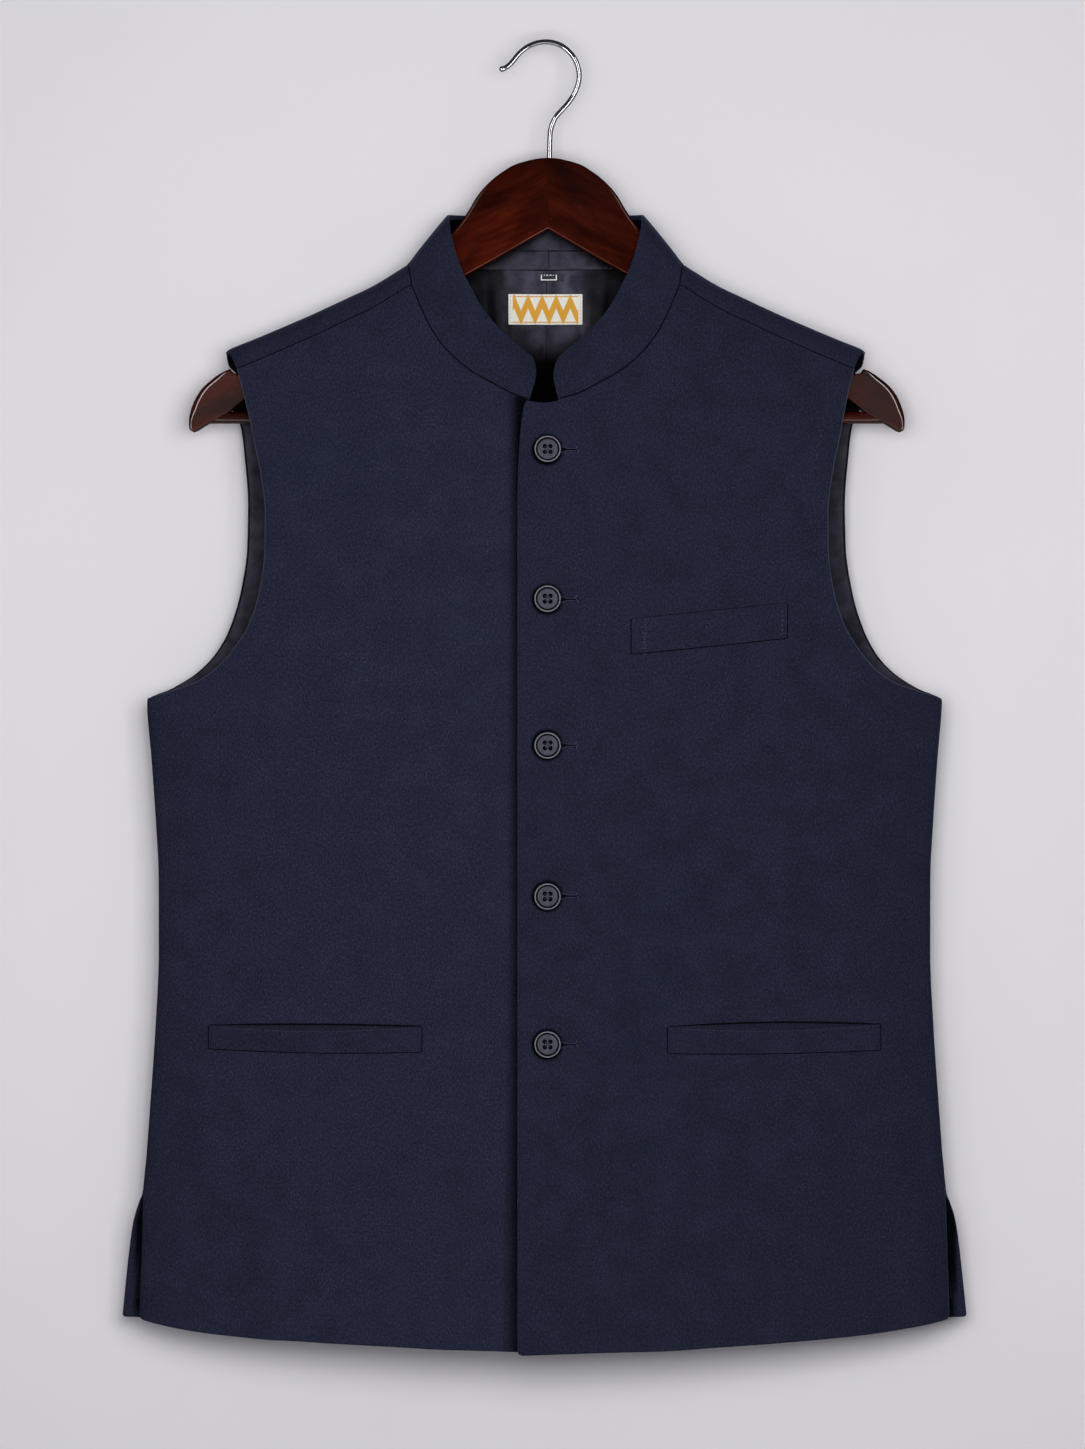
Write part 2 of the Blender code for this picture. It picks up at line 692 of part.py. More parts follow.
def build_cloth():
    left = front_sheet(over=True)
    right = mirrored(front_sheet(over=False))
    thickened("front_left", left, "cloth", CLOTH)
    thickened("front_right", right, "cloth", CLOTH)
    rows = back_rows()
    thickened("back", whole_sheet(rows), "cloth", CLOTH)
    lining = shifted(whole_sheet(lining_rows(rows)), -1.5 * SEAM_GAP)
    thickened("back_lining", lining, "lining", LINING, offset=-1.0)
    thickened("collar", collar_sheet(COLLAR_SHARES), "cloth", CLOTH)
    collar_inner = shifted(collar_sheet(COLLAR_SHARES[:-1]), -1.5 * SEAM_GAP)
    thickened("collar_lining", collar_inner, "lining", LINING, offset=-1.0)
    left_face = shifted(left, CLOTH + 1.5 * SEAM_GAP)
    right_face = shifted(right, CLOTH + 1.5 * SEAM_GAP)
    thickened("breast_welt", cut_out(left_face, BREAST_WELT), "cloth", PATCH)
    thickened("pocket_welt_left", cut_out(left_face, POCKET_WELT), "cloth", PATCH)
    other_side = [(-x, z) for x, z in (POCKET_WELT[1], POCKET_WELT[0], POCKET_WELT[3], POCKET_WELT[2])]
    thickened("pocket_welt_right", cut_out(right_face, other_side), "cloth", PATCH)
    lining_face = shifted(lining, -LINING - SEAM_GAP)
    thickened("main_label", cut_out(lining_face, MAIN_LABEL), "label", LABEL, offset=-1.0)
    thickened("size_label", cut_out(lining_face, SIZE_LABEL), "size_label", LABEL, offset=-1.0)
    for i, height in enumerate(BUTTON_HEIGHTS):
        button(i + 1, height, left_face)


def main():
    for old in list(bpy.data.objects):
        bpy.data.objects.remove(old)
    build_cloth()
    hanger_arm("hanger_arm_left", 1.0)
    hanger_arm("hanger_arm_right", -1.0)
    hanger_bar()
    hook()


main()
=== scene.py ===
import math

import bmesh
import bpy
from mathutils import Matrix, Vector, noise


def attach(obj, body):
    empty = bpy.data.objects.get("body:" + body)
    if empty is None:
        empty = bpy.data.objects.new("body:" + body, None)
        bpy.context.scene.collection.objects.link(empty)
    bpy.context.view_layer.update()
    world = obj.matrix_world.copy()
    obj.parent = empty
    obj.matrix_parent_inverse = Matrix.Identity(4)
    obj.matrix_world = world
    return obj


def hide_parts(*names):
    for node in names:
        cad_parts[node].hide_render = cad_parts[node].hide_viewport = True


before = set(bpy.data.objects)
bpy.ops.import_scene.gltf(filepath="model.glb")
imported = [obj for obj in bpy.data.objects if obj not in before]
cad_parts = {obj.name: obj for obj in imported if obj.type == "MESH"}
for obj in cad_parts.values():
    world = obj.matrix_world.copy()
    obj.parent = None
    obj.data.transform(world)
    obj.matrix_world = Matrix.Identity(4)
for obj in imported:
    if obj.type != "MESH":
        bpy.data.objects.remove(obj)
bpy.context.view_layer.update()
mm = 0.001  # every size below is in millimetres


# Shape rules that the panels share

body = {
    "clothThick": 1.6,
    "seamGap": 0.02,
    "seamLap": 0.5,
    "rollRadius": 8.0,  # of the cloth over the shoulder
    "fillLength": 60.0,  # how far below the ridge the chest fills out
    "lensPower": 2.5,
    "edgePower": 8.0,
    "edgeStations": (1.0, 2.6),  # from the hem
    "neckRidgeSlope": 0.3,
    "ventTop": -745.0,
    "ventFade": 60.0,
    "ventSwing": {"front": 4.0, "back": 8.0},
    # how the body hangs to +x: the height where that starts, the length it takes, how far
    "sway": [(-208.0, 50.0, 0.65), (-375.0, 60.0, -1.3)],
    "swayReach": (60.0, 110.0),  # from the middle, and the length it takes to the side
    "ridge": [
        (88.8, -144.9), (112.0, -159.1), (126.8, -166.1), (150.0, -176.9), (170.0, -185.6),
        (190.0, -194.0), (200.0, -197.9), (204.6, -199.9), (206.6, -201.6),
    ],
    # height, half width, depth of the front, depth of the back
    "profile": [
        (-143, 257.0, 30, 20), (-250, 257.0, 32, 24), (-330, 257.0, 34, 25),
        (-428, 257.0, 35, 26), (-464, 254.2, 33.2, 24.2), (-504, 251.4, 31, 22), (-543, 249.5, 28.3, 20),
        (-590, 249.4, 26.2, 19), (-640, 251.6, 26, 19), (-690, 255.0, 28, 21), (-720, 257.2, 29.7, 22.8),
        (-745, 259.7, 31, 24), (-850, 263.0, 38, 31),
    ],
}
quarter = math.pi * body["rollRadius"] / 2


def smooth(t):
    t = min(max(t, 0.0), 1.0)
    return t * t * (3.0 - 2.0 * t)


def mix(a, b, t):
    return a + (b - a) * t


def steps(count, low=0.0, high=1.0):
    # evenly spaced values from low to high
    return [mix(low, high, i / count) for i in range(count + 1)]


def slopes(keys, values):
    # slopes that never overshoot the values they join
    rises = [(b - a) / (k - j) for a, b, j, k in zip(values, values[1:], keys, keys[1:])]
    middle = [2 * a * b / (a + b) if a * b > 0 else 0.0 for a, b in zip(rises, rises[1:])]
    return [rises[0], *middle, rises[-1]]


def smoothTable(keys, rows):
    # a smooth run of several values along one rising key
    keys = list(keys)
    columns = [list(column) for column in zip(*rows)]
    leans = [slopes(keys, column) for column in columns]

    def at(key):
        key = min(max(key, keys[0]), keys[-1])
        i = 0
        while i < len(keys) - 2 and key > keys[i + 1]:
            i += 1
        span = keys[i + 1] - keys[i]
        t = (key - keys[i]) / span
        found = []
        for values, lean in zip(columns, leans):
            found.append(
                values[i] * (1 + 2 * t) * (1 - t) ** 2
                + values[i + 1] * t * t * (3 - 2 * t)
                + lean[i] * span * t * (1 - t) ** 2
                - lean[i + 1] * span * t * t * (1 - t)
            )
        return found

    return at


profileAt = smoothTable([-row[0] for row in body["profile"]], [row[1:] for row in body["profile"]])
ridgeAt = smoothTable([row[0] for row in body["ridge"]], [row[1:] for row in body["ridge"]])


def ridge(x):
    x = abs(x)
    neckX, neckZ = body["ridge"][0]
    if x < neckX:
        return neckZ + (neckX - x) * body["neckRidgeSlope"]
    return ridgeAt(x)[0]


def bodyDepth(x, drop, z, roll, side):
    # how far the cloth's inner face stands from the middle plane
    half, frontDepth, backDepth = profileAt(-z)
    share = min(abs(x) / (half - body["seamLap"]), 1.0)
    centre = frontDepth if side == "front" else backDepth
    depth = centre * (1.0 - math.exp(-drop / body["fillLength"])) * (1.0 - share ** body["lensPower"])
    rim = share ** body["edgePower"]
    open = smooth((body["ventTop"] - z) / body["ventFade"]) * smooth(share * 4.0 - 3.0)
    return depth + roll * math.sqrt(1.0 - rim) + body["seamGap"] / 2 * rim + body["ventSwing"][side] * open


def crease(x, z, folds, soft=0.1, reach=3.0):
    # folds: start, end, half width, height (below 0 for a trough)
    total = 0.0
    for (x1, z1), (x2, z2), width, height in folds:
        runX, runZ = x2 - x1, z2 - z1
        length = math.hypot(runX, runZ)
        along = ((x - x1) * runX + (z - z1) * runZ) / length ** 2
        if -soft < along < 1.0 + soft:
            across = ((x - x1) * runZ - (z - z1) * runX) / length
            if abs(across) < reach * width:
                ends = smooth(min(along + soft, 1.0 + soft - along) * 3.0)
                total += height * math.exp(-(across / width) ** 2) * ends
    return total


def sway(x, z):
    # the body hangs a little to one side
    start, length = body["swayReach"]
    amount = sum(shift * smooth((top - z) / fall) for top, fall, shift in body["sway"])
    return x + amount * smooth((abs(x) - start) / length)


def heightAt(v):
    # the height of a place on the back below its roll
    return v + quarter - body["rollRadius"]


def frontPoint(x, z, lift=0.0):
    drop = max(ridge(x) - z, body["rollRadius"])
    return Vector((x, -bodyDepth(x, drop, z, body["rollRadius"], "front") - lift, z))


def rollPoint(x, over, lift=0.0):
    # the back's inner face; over is how far it has come past the ridge
    radius = body["rollRadius"]
    drop, roll, rise = radius + abs(over) - quarter, radius, 0.0
    if abs(over) < quarter:
        angle = abs(over) / radius
        drop, roll = radius * (1 - math.cos(angle)), radius * math.sin(angle)
        rise = lift * math.cos(angle)
    z = ridge(x) - drop
    side, towards = ("front", -1) if over > 0 else ("back", 1)
    return Vector((x, towards * (bodyDepth(x, drop, z, roll, side) + lift - rise), z + rise))


def behind(x, z):
    drop = ridge(x) - z
    radius = body["rollRadius"]
    if drop < radius:
        return -radius * math.acos(min(max(1.0 - drop / radius, -1.0), 1.0))
    return -(drop - radius + quarter)


def spread(places, least, always=()):
    # leaves out a place that is too close to the one before it
    kept = []
    for place in sorted(places):
        if not kept or place - kept[-1] > least or place in always:
            kept.append(place)
    return kept


def spots(length, spacing, edges=(1.0, 2.6), least=0.7):
    # stations along an edge, with a few close to each end
    count = max(2, round(length / spacing))
    places = {i * length / count for i in range(count + 1)}
    for edge in edges:
        places |= {edge, length - edge}
    kept = spread(places, least)
    kept[-1] = length
    return kept


def filled(coarse, spacing, extra=(), bunched=None, least=0.6, shortest=0.4):
    # coarse rows of (x, height) pairs become dense rows, smooth down every column; bunched
    # gives a length before the last row, and the closer spacing there
    keys = [0.0]
    for low, high in zip(coarse, coarse[1:]):
        ends = [math.hypot(high[i][0] - low[i][0], high[i][1] - low[i][1]) for i in (0, -1)]
        keys.append(keys[-1] + max(sum(ends) / 2, shortest))
    if bunched:
        reach, close = bunched
        extra = [keys[-1] - close * i for i in range(int(reach / close))]
    places = spread(set(spots(keys[-1], spacing)) | set(keys[1:-1]) | set(extra), least, keys)
    tables = [smoothTable(keys, column) for column in zip(*coarse)]
    return [[tableAt(place) for tableAt in tables] for place in places]


def roundCorner(x, z, cornerX, cornerZ, towards, radius):
    # pulls the points of a square corner in to an arc; towards points into the cloth
    offX, offZ = (x - cornerX) * towards[0], (z - cornerZ) * towards[1]
    if offX < radius and offZ < radius:
        reachX, reachZ = radius - offX, radius - offZ
        far = math.hypot(reachX, reachZ)
        if far > radius:
            x = cornerX + towards[0] * (radius - reachX * radius / far)
            z = cornerZ + towards[1] * (radius - reachZ * radius / far)
    return x, z


# Mesh builders

def addPiece(name, mesh, materials, smoothAngle=None):
    for material in materials:
        mesh.materials.append(material)
    mesh.shade_smooth()
    if smoothAngle:
        mesh.set_sharp_from_angle(angle=math.radians(smoothAngle))
    return addObject(name, mesh)


def addObject(name, data):
    made = bpy.data.objects.new(name, data)
    bpy.context.scene.collection.objects.link(made)
    return made


def meshOf(name, points, faces):
    mesh = bpy.data.meshes.new(name)
    mesh.from_pydata([point * mm for point in points], [], faces)
    mesh.update()
    return mesh


def layWeave(mesh, where):
    # the map that the weave and the grain follow, with one place in millimetres a vertex
    layer = mesh.uv_layers.new(name="weave")
    corners = [0] * len(mesh.loops)
    mesh.loops.foreach_get("vertex_index", corners)
    layer.data.foreach_set("uv", [value * mm for corner in corners for value in where[corner]])


def gridNormals(rows, turn):
    tall, wide = len(rows), len(rows[0])
    normals = []
    for i in range(tall):
        low, high = rows[max(i - 1, 0)], rows[min(i + 1, tall - 1)]
        for j in range(wide):
            across = rows[i][min(j + 1, wide - 1)] - rows[i][max(j - 1, 0)]
            normals.append((across.cross(high[j] - low[j]) * turn).normalized())
    return normals


def sewnPanel(name, rows, weave, thick, turn, materials, inner=None, bulge=0.5, shade=None, inward=False):
    # a closed sheet of cloth with rolled edges on a grid of points. The grid is its inner
    # face, or its outer face when inward; inner picks the slot of each inner face
    tall, wide = len(rows), len(rows[0])
    normals = gridNormals(rows, turn)
    near = [point for row in rows for point in row]
    step = -thick if inward else thick
    far = [point + normal * step for point, normal in zip(near, normals)]
    insides, outsides = (far, near) if inward else (near, far)
    points = insides + outsides
    where = [spot for row in weave for spot in row] * 2
    shades = [value for row in shade for value in row] * 2 if shade else None
    count = tall * wide
    faces, slots = [], []
    for i in range(tall - 1):
        for j in range(wide - 1):
            a = i * wide + j
            quad = (a, a + 1, a + 1 + wide, a + wide)
            out = tuple(corner + count for corner in quad)
            faces += [out, quad[::-1]] if turn > 0 else [out[::-1], quad]
            slots += [0, inner(i, j) if inner else 0]
    ring = [(0, j) for j in range(wide)] + [(i, wide - 1) for i in range(1, tall)]
    ring += [(tall - 1, j) for j in range(wide - 2, -1, -1)] + [(i, 0) for i in range(tall - 2, 0, -1)]
    rims = []
    for i, j in ring:
        away = Vector()
        if i in (0, tall - 1):
            away += (rows[i][j] - rows[1 if i == 0 else tall - 2][j]).normalized()
        if j in (0, wide - 1):
            away += (rows[i][j] - rows[i][1 if j == 0 else wide - 2]).normalized()
        away.normalize()
        a = i * wide + j
        middle, half = (insides[a] + outsides[a]) / 2, (outsides[a] - insides[a]) / 2
        line = [a + count]
        for angle in (45, 90, 135):
            swing = math.radians(angle)
            points.append(middle + half * math.cos(swing) + away * bulge * math.sin(swing))
            where.append(weave[i][j])
            if shades:
                shades.append(shades[a])
            line.append(len(points) - 1)
        rims.append(line + [a])
    for first, second in zip(rims, rims[1:] + rims[:1]):
        for k in range(4):
            quad = (first[k], first[k + 1], second[k + 1], second[k])
            faces.append(quad if turn > 0 else quad[::-1])
            slots.append(0)
    mesh = meshOf(name, points, faces)
    layWeave(mesh, where)
    mesh.polygons.foreach_set("material_index", slots)
    if shades:
        mesh.attributes.new("shade", "FLOAT", "POINT").data.foreach_set("value", shades)
    piece = addPiece(name, mesh, materials)
    if mesh.polygons[0].normal.dot(normals[0]) < 0:
        mesh.flip_normals()
    return piece


def ringFaces(start, rings, sides):
    # the sides of a cord from ring to ring, then its two ends
    faces = []
    for i in range(rings - 1):
        for k in range(sides):
            a, b = start + i * sides + k, start + i * sides + (k + 1) % sides
            faces.append((a, b, b + sides, a + sides))
    faces.append(tuple(range(start + sides - 1, start - 1, -1)))
    faces.append(tuple(range(start + (rings - 1) * sides, start + rings * sides)))
    return faces


def turns(sides):
    return [2 * math.pi * k / sides for k in range(sides)]


def tube(name, routes, radius, material, sides=8, flatten=1.0):
    # round cord along each route of points; several routes make one piece
    points, faces, where = [], [], []
    for route in routes:
        faces += ringFaces(len(points), len(route), sides)
        last = len(route) - 1
        along = 0.0
        for i, point in enumerate(route):
            run = (route[min(i + 1, last)] - route[max(i - 1, 0)]).normalized()
            u = Vector((0, 1, 0)) - run * run.y
            if u.length < 0.01:
                u = Vector((1, 0, 0)) - run * run.x
            u.normalize()
            v = run.cross(u)
            size = radius(i / last) if callable(radius) else radius
            along += (point - route[max(i - 1, 0)]).length
            for angle in turns(sides):
                where.append((along, angle * size))
                points.append(point + (u * math.cos(angle) * flatten + v * math.sin(angle)) * size)
    mesh = meshOf(name, points, faces)
    layWeave(mesh, where)
    return addPiece(name, mesh, [material])


stitchLook = {
    "rings": ((-0.5, 0.25), (-0.36, 0.8), (0.0, 1.0), (0.36, 0.8), (0.5, 0.25)),  # place, size
    "sides": 6,
    "lift": 0.55,  # of the middle and how far the ends dip, in radii
    "dip": 2.2,
}


def stitches(name, spotsAndRuns, length, radius, material):
    # short threads, each lying along its run on the cloth
    rings, sides = stitchLook["rings"], stitchLook["sides"]
    points, faces = [], []
    for place, run, normal in spotsAndRuns:
        faces += ringFaces(len(points), len(rings), sides)
        run = run.normalized()
        side = run.cross(normal).normalized()
        for share, size in rings:
            arch = radius * (stitchLook["lift"] - stitchLook["dip"] * share * share)
            middle = place + run * length * share + normal * arch
            for angle in turns(sides):
                points.append(middle + (side * math.cos(angle) + normal * math.sin(angle)) * radius * size)
    return addPiece(name, meshOf(name, points, faces), [material])


def settle(piece, slot, *nodes):
    # every piece hangs with the one rigid body of the row
    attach(piece, "root")
    if nodes:
        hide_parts(*nodes)
    return piece


# Shader helpers and groups

def put(tree, value, socket):
    # links an output, or sets a plain value
    if hasattr(value, "links"):
        tree.links.new(value, socket)
    elif socket.type == "RGBA" and len(value) == 3:
        socket.default_value = (*value, 1.0)
    else:
        socket.default_value = value


def give(tree, sockets, values):
    for key, value in values.items():
        put(tree, value, sockets[key])


def node(tree, kind, values=None, **settings):
    made = tree.nodes.new("ShaderNode" + kind)
    for key, value in settings.items():
        setattr(made, key, value)
    give(tree, made.inputs, values or {})
    return made


def newGroup(name, inputs, outputs):
    group = bpy.data.node_groups.new(name, "ShaderNodeTree")
    for label, value in inputs.items():
        socket = group.interface.new_socket(label, in_out="INPUT", socket_type="NodeSocketFloat")
        socket.default_value = value
    for label in outputs:
        group.interface.new_socket(label, in_out="OUTPUT", socket_type="NodeSocketFloat")
    start, end = group.nodes.new("NodeGroupInput"), group.nodes.new("NodeGroupOutput")
    return group, start.outputs, end.inputs


def calc(tree, operation, first, second=0.0, clamp=False):
    return node(tree, "Math", {0: first, 1: second}, operation=operation, use_clamp=clamp).outputs[0]


def times(tree, first, *others):
    for other in others:
        first = calc(tree, "MULTIPLY", first, other)
    return first


def offFrom(tree, value, middle=0.0):
    return calc(tree, "ABSOLUTE", calc(tree, "SUBTRACT", value, middle))


def rangeOf(tree, value, low, high, toLow=0.0, toHigh=1.0):
    return node(tree, "MapRange", {0: value, 1: low, 2: high, 3: toLow, 4: toHigh}).outputs[0]


def below(tree, value, low, high):
    return rangeOf(tree, value, low, high, 1.0, 0.0)


def colourMix(tree, factor, first, second):
    return node(tree, "Mix", {0: factor, 6: first, 7: second}, data_type="RGBA").outputs[2]


def scaled(tree, vector, amount):
    return node(tree, "VectorMath", {0: vector, "Scale": amount}, operation="SCALE").outputs[0]


def noiseOf(tree, vector, flat=False, **values):
    kind = "2D" if flat else "3D"
    return node(tree, "TexNoise", {"Vector": vector, **values}, noise_dimensions=kind).outputs[0]


def partsOf(tree, vector):
    return node(tree, "SeparateXYZ", {0: vector}).outputs


def weaveMap(tree):
    return scaled(tree, node(tree, "UVMap", uv_map="weave").outputs[0], 1.0 / mm)


def objectPlace(tree):
    return node(tree, "TexCoord").outputs["Object"]


def faceOn(tree):
    # the place in millimetres as seen from the front
    flatten = (1.0 / mm, 0.0, 1.0 / mm)
    return node(tree, "VectorMath", {0: objectPlace(tree), 1: flatten}, operation="MULTIPLY").outputs[0]


def awayFrom(tree, vector, place):
    return node(tree, "VectorMath", {0: vector, 1: place}, operation="DISTANCE").outputs["Value"]


def shadeMask(tree):
    return node(tree, "Attribute", attribute_name="shade").outputs["Fac"]


weaveLook = {
    "waleLean": -52.0,  # degrees
    "waleStretch": (1.0, 0.42, 1.0),
    "waleShare": 0.48,
    "nap": (0.375, 0.625),  # contrast of the nap, the clouds and the flecks
    "cloud": (0.3, 0.7),
    "fleck": (0.56, 0.74),
}


def twillGroup():
    # brushed twill: slanting wales, a nap of short fibres, and pale flecks
    group, start, end = newGroup(
        "twillNap", {"Wale Size": 1.0, "Cloud Size": 22.0, "Fleck Size": 2.6},
        ["Nap", "Cloud", "Fleck", "Height"],
    )
    flat = weaveMap(group)
    rates = {key: calc(group, "DIVIDE", 1.0, start[key + " Size"]) for key in ("Wale", "Cloud", "Fleck")}
    lean = (0, 0, math.radians(weaveLook["waleLean"]))
    slant = node(group, "Mapping", {0: flat, "Rotation": lean, "Scale": weaveLook["waleStretch"]})
    wales = noiseOf(group, slant.outputs[0], True, Scale=rates["Wale"], Detail=3.0, Roughness=0.6)
    fibre = noiseOf(group, flat, True, Scale=1.5, Detail=4.0, Roughness=0.75)
    cloud = noiseOf(group, flat, True, Scale=rates["Cloud"], Detail=4.0, Roughness=0.6)
    flecks = noiseOf(group, flat, True, Scale=rates["Fleck"], Detail=2.0, Roughness=0.5)
    share = weaveLook["waleShare"]
    nap = calc(group, "ADD", times(group, wales, share), times(group, fibre, 1.0 - share))
    give(group, end, {
        "Nap": rangeOf(group, nap, *weaveLook["nap"]),
        "Cloud": rangeOf(group, cloud, *weaveLook["cloud"]),
        "Fleck": rangeOf(group, flecks, *weaveLook["fleck"]),
        "Height": calc(group, "ADD", wales, times(group, fibre, 0.5)),
    })
    return group


def dustGroup():
    # fine dust and handling marks, in the object's own space
    group, start, end = newGroup("fineDust", {"Mark Size": 6.0, "Spread": 0.5}, ["Mask"])
    rate = calc(group, "DIVIDE", 1.0 / mm, start["Mark Size"])
    marks = noiseOf(group, objectPlace(group), Scale=rate, Detail=5.0, Roughness=0.65)
    lifted = calc(group, "ADD", marks, times(group, start["Spread"], 0.2))
    give(group, end, {"Mask": rangeOf(group, lifted, 0.5, 0.8)})
    return group


def newMaterial(name, colour, roughness, sockets):
    material = bpy.data.materials.new(name)
    material.use_nodes = True
    tree = material.node_tree
    shader = tree.nodes["Principled BSDF"]
    give(tree, shader.inputs, {"Base Color": colour, "Roughness": roughness, **sockets})
    material.diffuse_color = (*colour, 1.0)
    return material, tree, shader.inputs


twill, dust = twillGroup(), dustGroup()


def dress(tree, shader, colour, wear, bumps=(), marks=6.0):
    # colour, roughness from clean to worn, and bumps of height, strength and distance, each on
    # the last; a height of None is that of the dust marks
    worn = node(tree, "Group", {"Mark Size": marks}, node_tree=dust).outputs["Mask"]
    give(tree, shader, {"Base Color": colour, "Roughness": rangeOf(tree, worn, 0.0, 1.0, *wear)})
    under = {}
    for height, strength, distance in bumps:
        sockets = {"Height": worn if height is None else height, "Strength": strength, "Distance": distance}
        under = {"Normal": node(tree, "Bump", {**sockets, **under}).outputs[0]}
    give(tree, shader, under)


# Cloth, lining and thread

navy = {
    "dark": (0.0072, 0.0083, 0.0180),
    "light": (0.0206, 0.0234, 0.0466),
    "fleck": (0.042, 0.050, 0.088),
    "fleckAmount": 0.36,
    "cloudAmount": 0.10,
    "waleSize": 0.8,
    "fleckSize": 1.3,
    "bump": 0.5,
    "sheen": 0.12,
    "lapSheen": 0.03,  # on the front that is shaded beside the edge above it
    # the base colour of the shaded cloth is raised by this, standing in for the sheen taken off it: painted
    # sheen
    "lapLift": 1.12,
    "tint": (0.50, 0.60, 0.95),
    "ring": {"Reach": 1.9, "Depth": 0.08},  # the shade round a button
}

button = {
    "x": 1.3,
    "heights": [-266.4, -362.1, -455.4, -552.1, -647.2],
    "segments": 72,
    # radius and height of the turned section, from the middle of the back round to the face
    "section": [
        (7.6, 0.0), (8.4, 0.35), (8.75, 1.1), (8.72, 1.9), (8.5, 2.5), (8.2, 2.86), (7.75, 2.92),
        (7.36, 2.66), (7.1, 2.2), (6.9, 1.95), (6.65, 1.95), (6.4, 2.15), (6.1, 2.36), (5.4, 2.46),
        (4.2, 2.40), (3.0, 2.24), (1.8, 2.14),
    ],
    "middle": 2.12,
    "radius": 8.75,
    "shadeShift": (-0.3, -0.2),
    "shadeGap": 0.55,
    "holeRadius": 1.42,
    "holeReach": 1.78,
    "threadRadius": 0.11,
    "threadShift": 0.24,
    "threadSpread": 0.35,
    "shank": 0.6,
    "seat": 0.12,
    "sharpAngle": 38,
}


def buttonShadeGroup():
    # painted shade: the cloth darkens in a narrow ring round each button, where the button rests on it
    group, start, end = newGroup("buttonShade", {"Reach": 1.5, "Depth": 0.3}, ["Shade"])
    flat = faceOn(group)
    shiftX, shiftZ = button["shadeShift"]
    nearest = 1000.0
    for height in button["heights"]:
        away = awayFrom(group, flat, (button["x"] + shiftX, 0.0, height + shiftZ))
        nearest = calc(group, "MINIMUM", away, nearest)
    gap = calc(group, "SUBTRACT", nearest, button["radius"] + button["shadeGap"])
    share = calc(group, "DIVIDE", gap, start["Reach"], True)
    lift = times(group, share, calc(group, "SUBTRACT", 1.0, start["Depth"]))
    give(group, end, {"Shade": calc(group, "ADD", lift, start["Depth"])})
    return group


def makeNavyCloth(name, shaded=False, buttonShaded=False):
    material, tree, shader = newMaterial(name, navy["dark"], 0.92, {
        "Sheen Weight": navy["lapSheen" if shaded else "sheen"], "Sheen Roughness": 0.4,
        "Sheen Tint": navy["tint"], "Specular IOR Level": 0.03,
    })
    sizes = {"Wale Size": navy["waleSize"], "Fleck Size": navy["fleckSize"]}
    nap = node(tree, "Group", sizes, node_tree=twill).outputs
    base = colourMix(tree, nap["Nap"], navy["dark"], navy["light"])
    base = colourMix(tree, times(tree, nap["Fleck"], navy["fleckAmount"]), base, navy["fleck"])
    depth = rangeOf(tree, nap["Cloud"], 0.0, 1.0, 1.0 - navy["cloudAmount"], 1.0 + navy["cloudAmount"])
    # painted shade from the shade attribute, with the base raised to stand for the sheen taken off
    if shaded:
        depth = times(tree, depth, shadeMask(tree), navy["lapLift"])
    # painted shade in a ring round each button
    if buttonShaded:
        ring = node(tree, "Group", navy["ring"], node_tree=buttonShadeGroup())
        depth = times(tree, depth, ring.outputs["Shade"])
    dress(tree, shader, scaled(tree, base, depth), (0.95, 0.85), [(nap["Height"], navy["bump"], 0.0004)])
    return material


satins = {
    "lining": ((0.0200, 0.0190, 0.0280), (0.0440, 0.0415, 0.0600)),
    "band": ((0.028, 0.0265, 0.0385), (0.058, 0.055, 0.078)),
    # near black: painted shade on the inside of the back
    "inside": ((0.0012, 0.0012, 0.0018), (0.0030, 0.0030, 0.0042)),
}


def makeSatin(name, look, shaded=False):
    dark, light = satins[look]
    material, tree, shader = newMaterial(name, dark, 0.42, {
        "Specular IOR Level": 0.04, "Sheen Weight": 0.02, "Sheen Roughness": 0.35,
    })
    blotch = noiseOf(tree, objectPlace(tree), Scale=95.0, Detail=3.0, Roughness=0.55, Distortion=0.4)
    base = colourMix(tree, rangeOf(tree, blotch, 0.34, 0.66), dark, light)
    if shaded:
        base = scaled(tree, base, shadeMask(tree))
    weave = node(tree, "Group", {"Wale Size": 0.5}, node_tree=twill).outputs["Height"]
    dress(tree, shader, base, (0.40, 0.55), [(weave, 0.12, 0.0002), (blotch, 0.2, 0.0012)])
    return material


def makeThread(name, dark, light, roughness, sheen):
    sockets = {"Specular IOR Level": 0.04, "Sheen Weight": sheen}
    material, tree, shader = newMaterial(name, dark, roughness, sockets)
    ply = noiseOf(tree, objectPlace(tree), Scale=1400.0, Detail=2.0)
    dress(tree, shader, colourMix(tree, ply, dark, light), (roughness, min(roughness + 0.1, 1.0)))
    return material


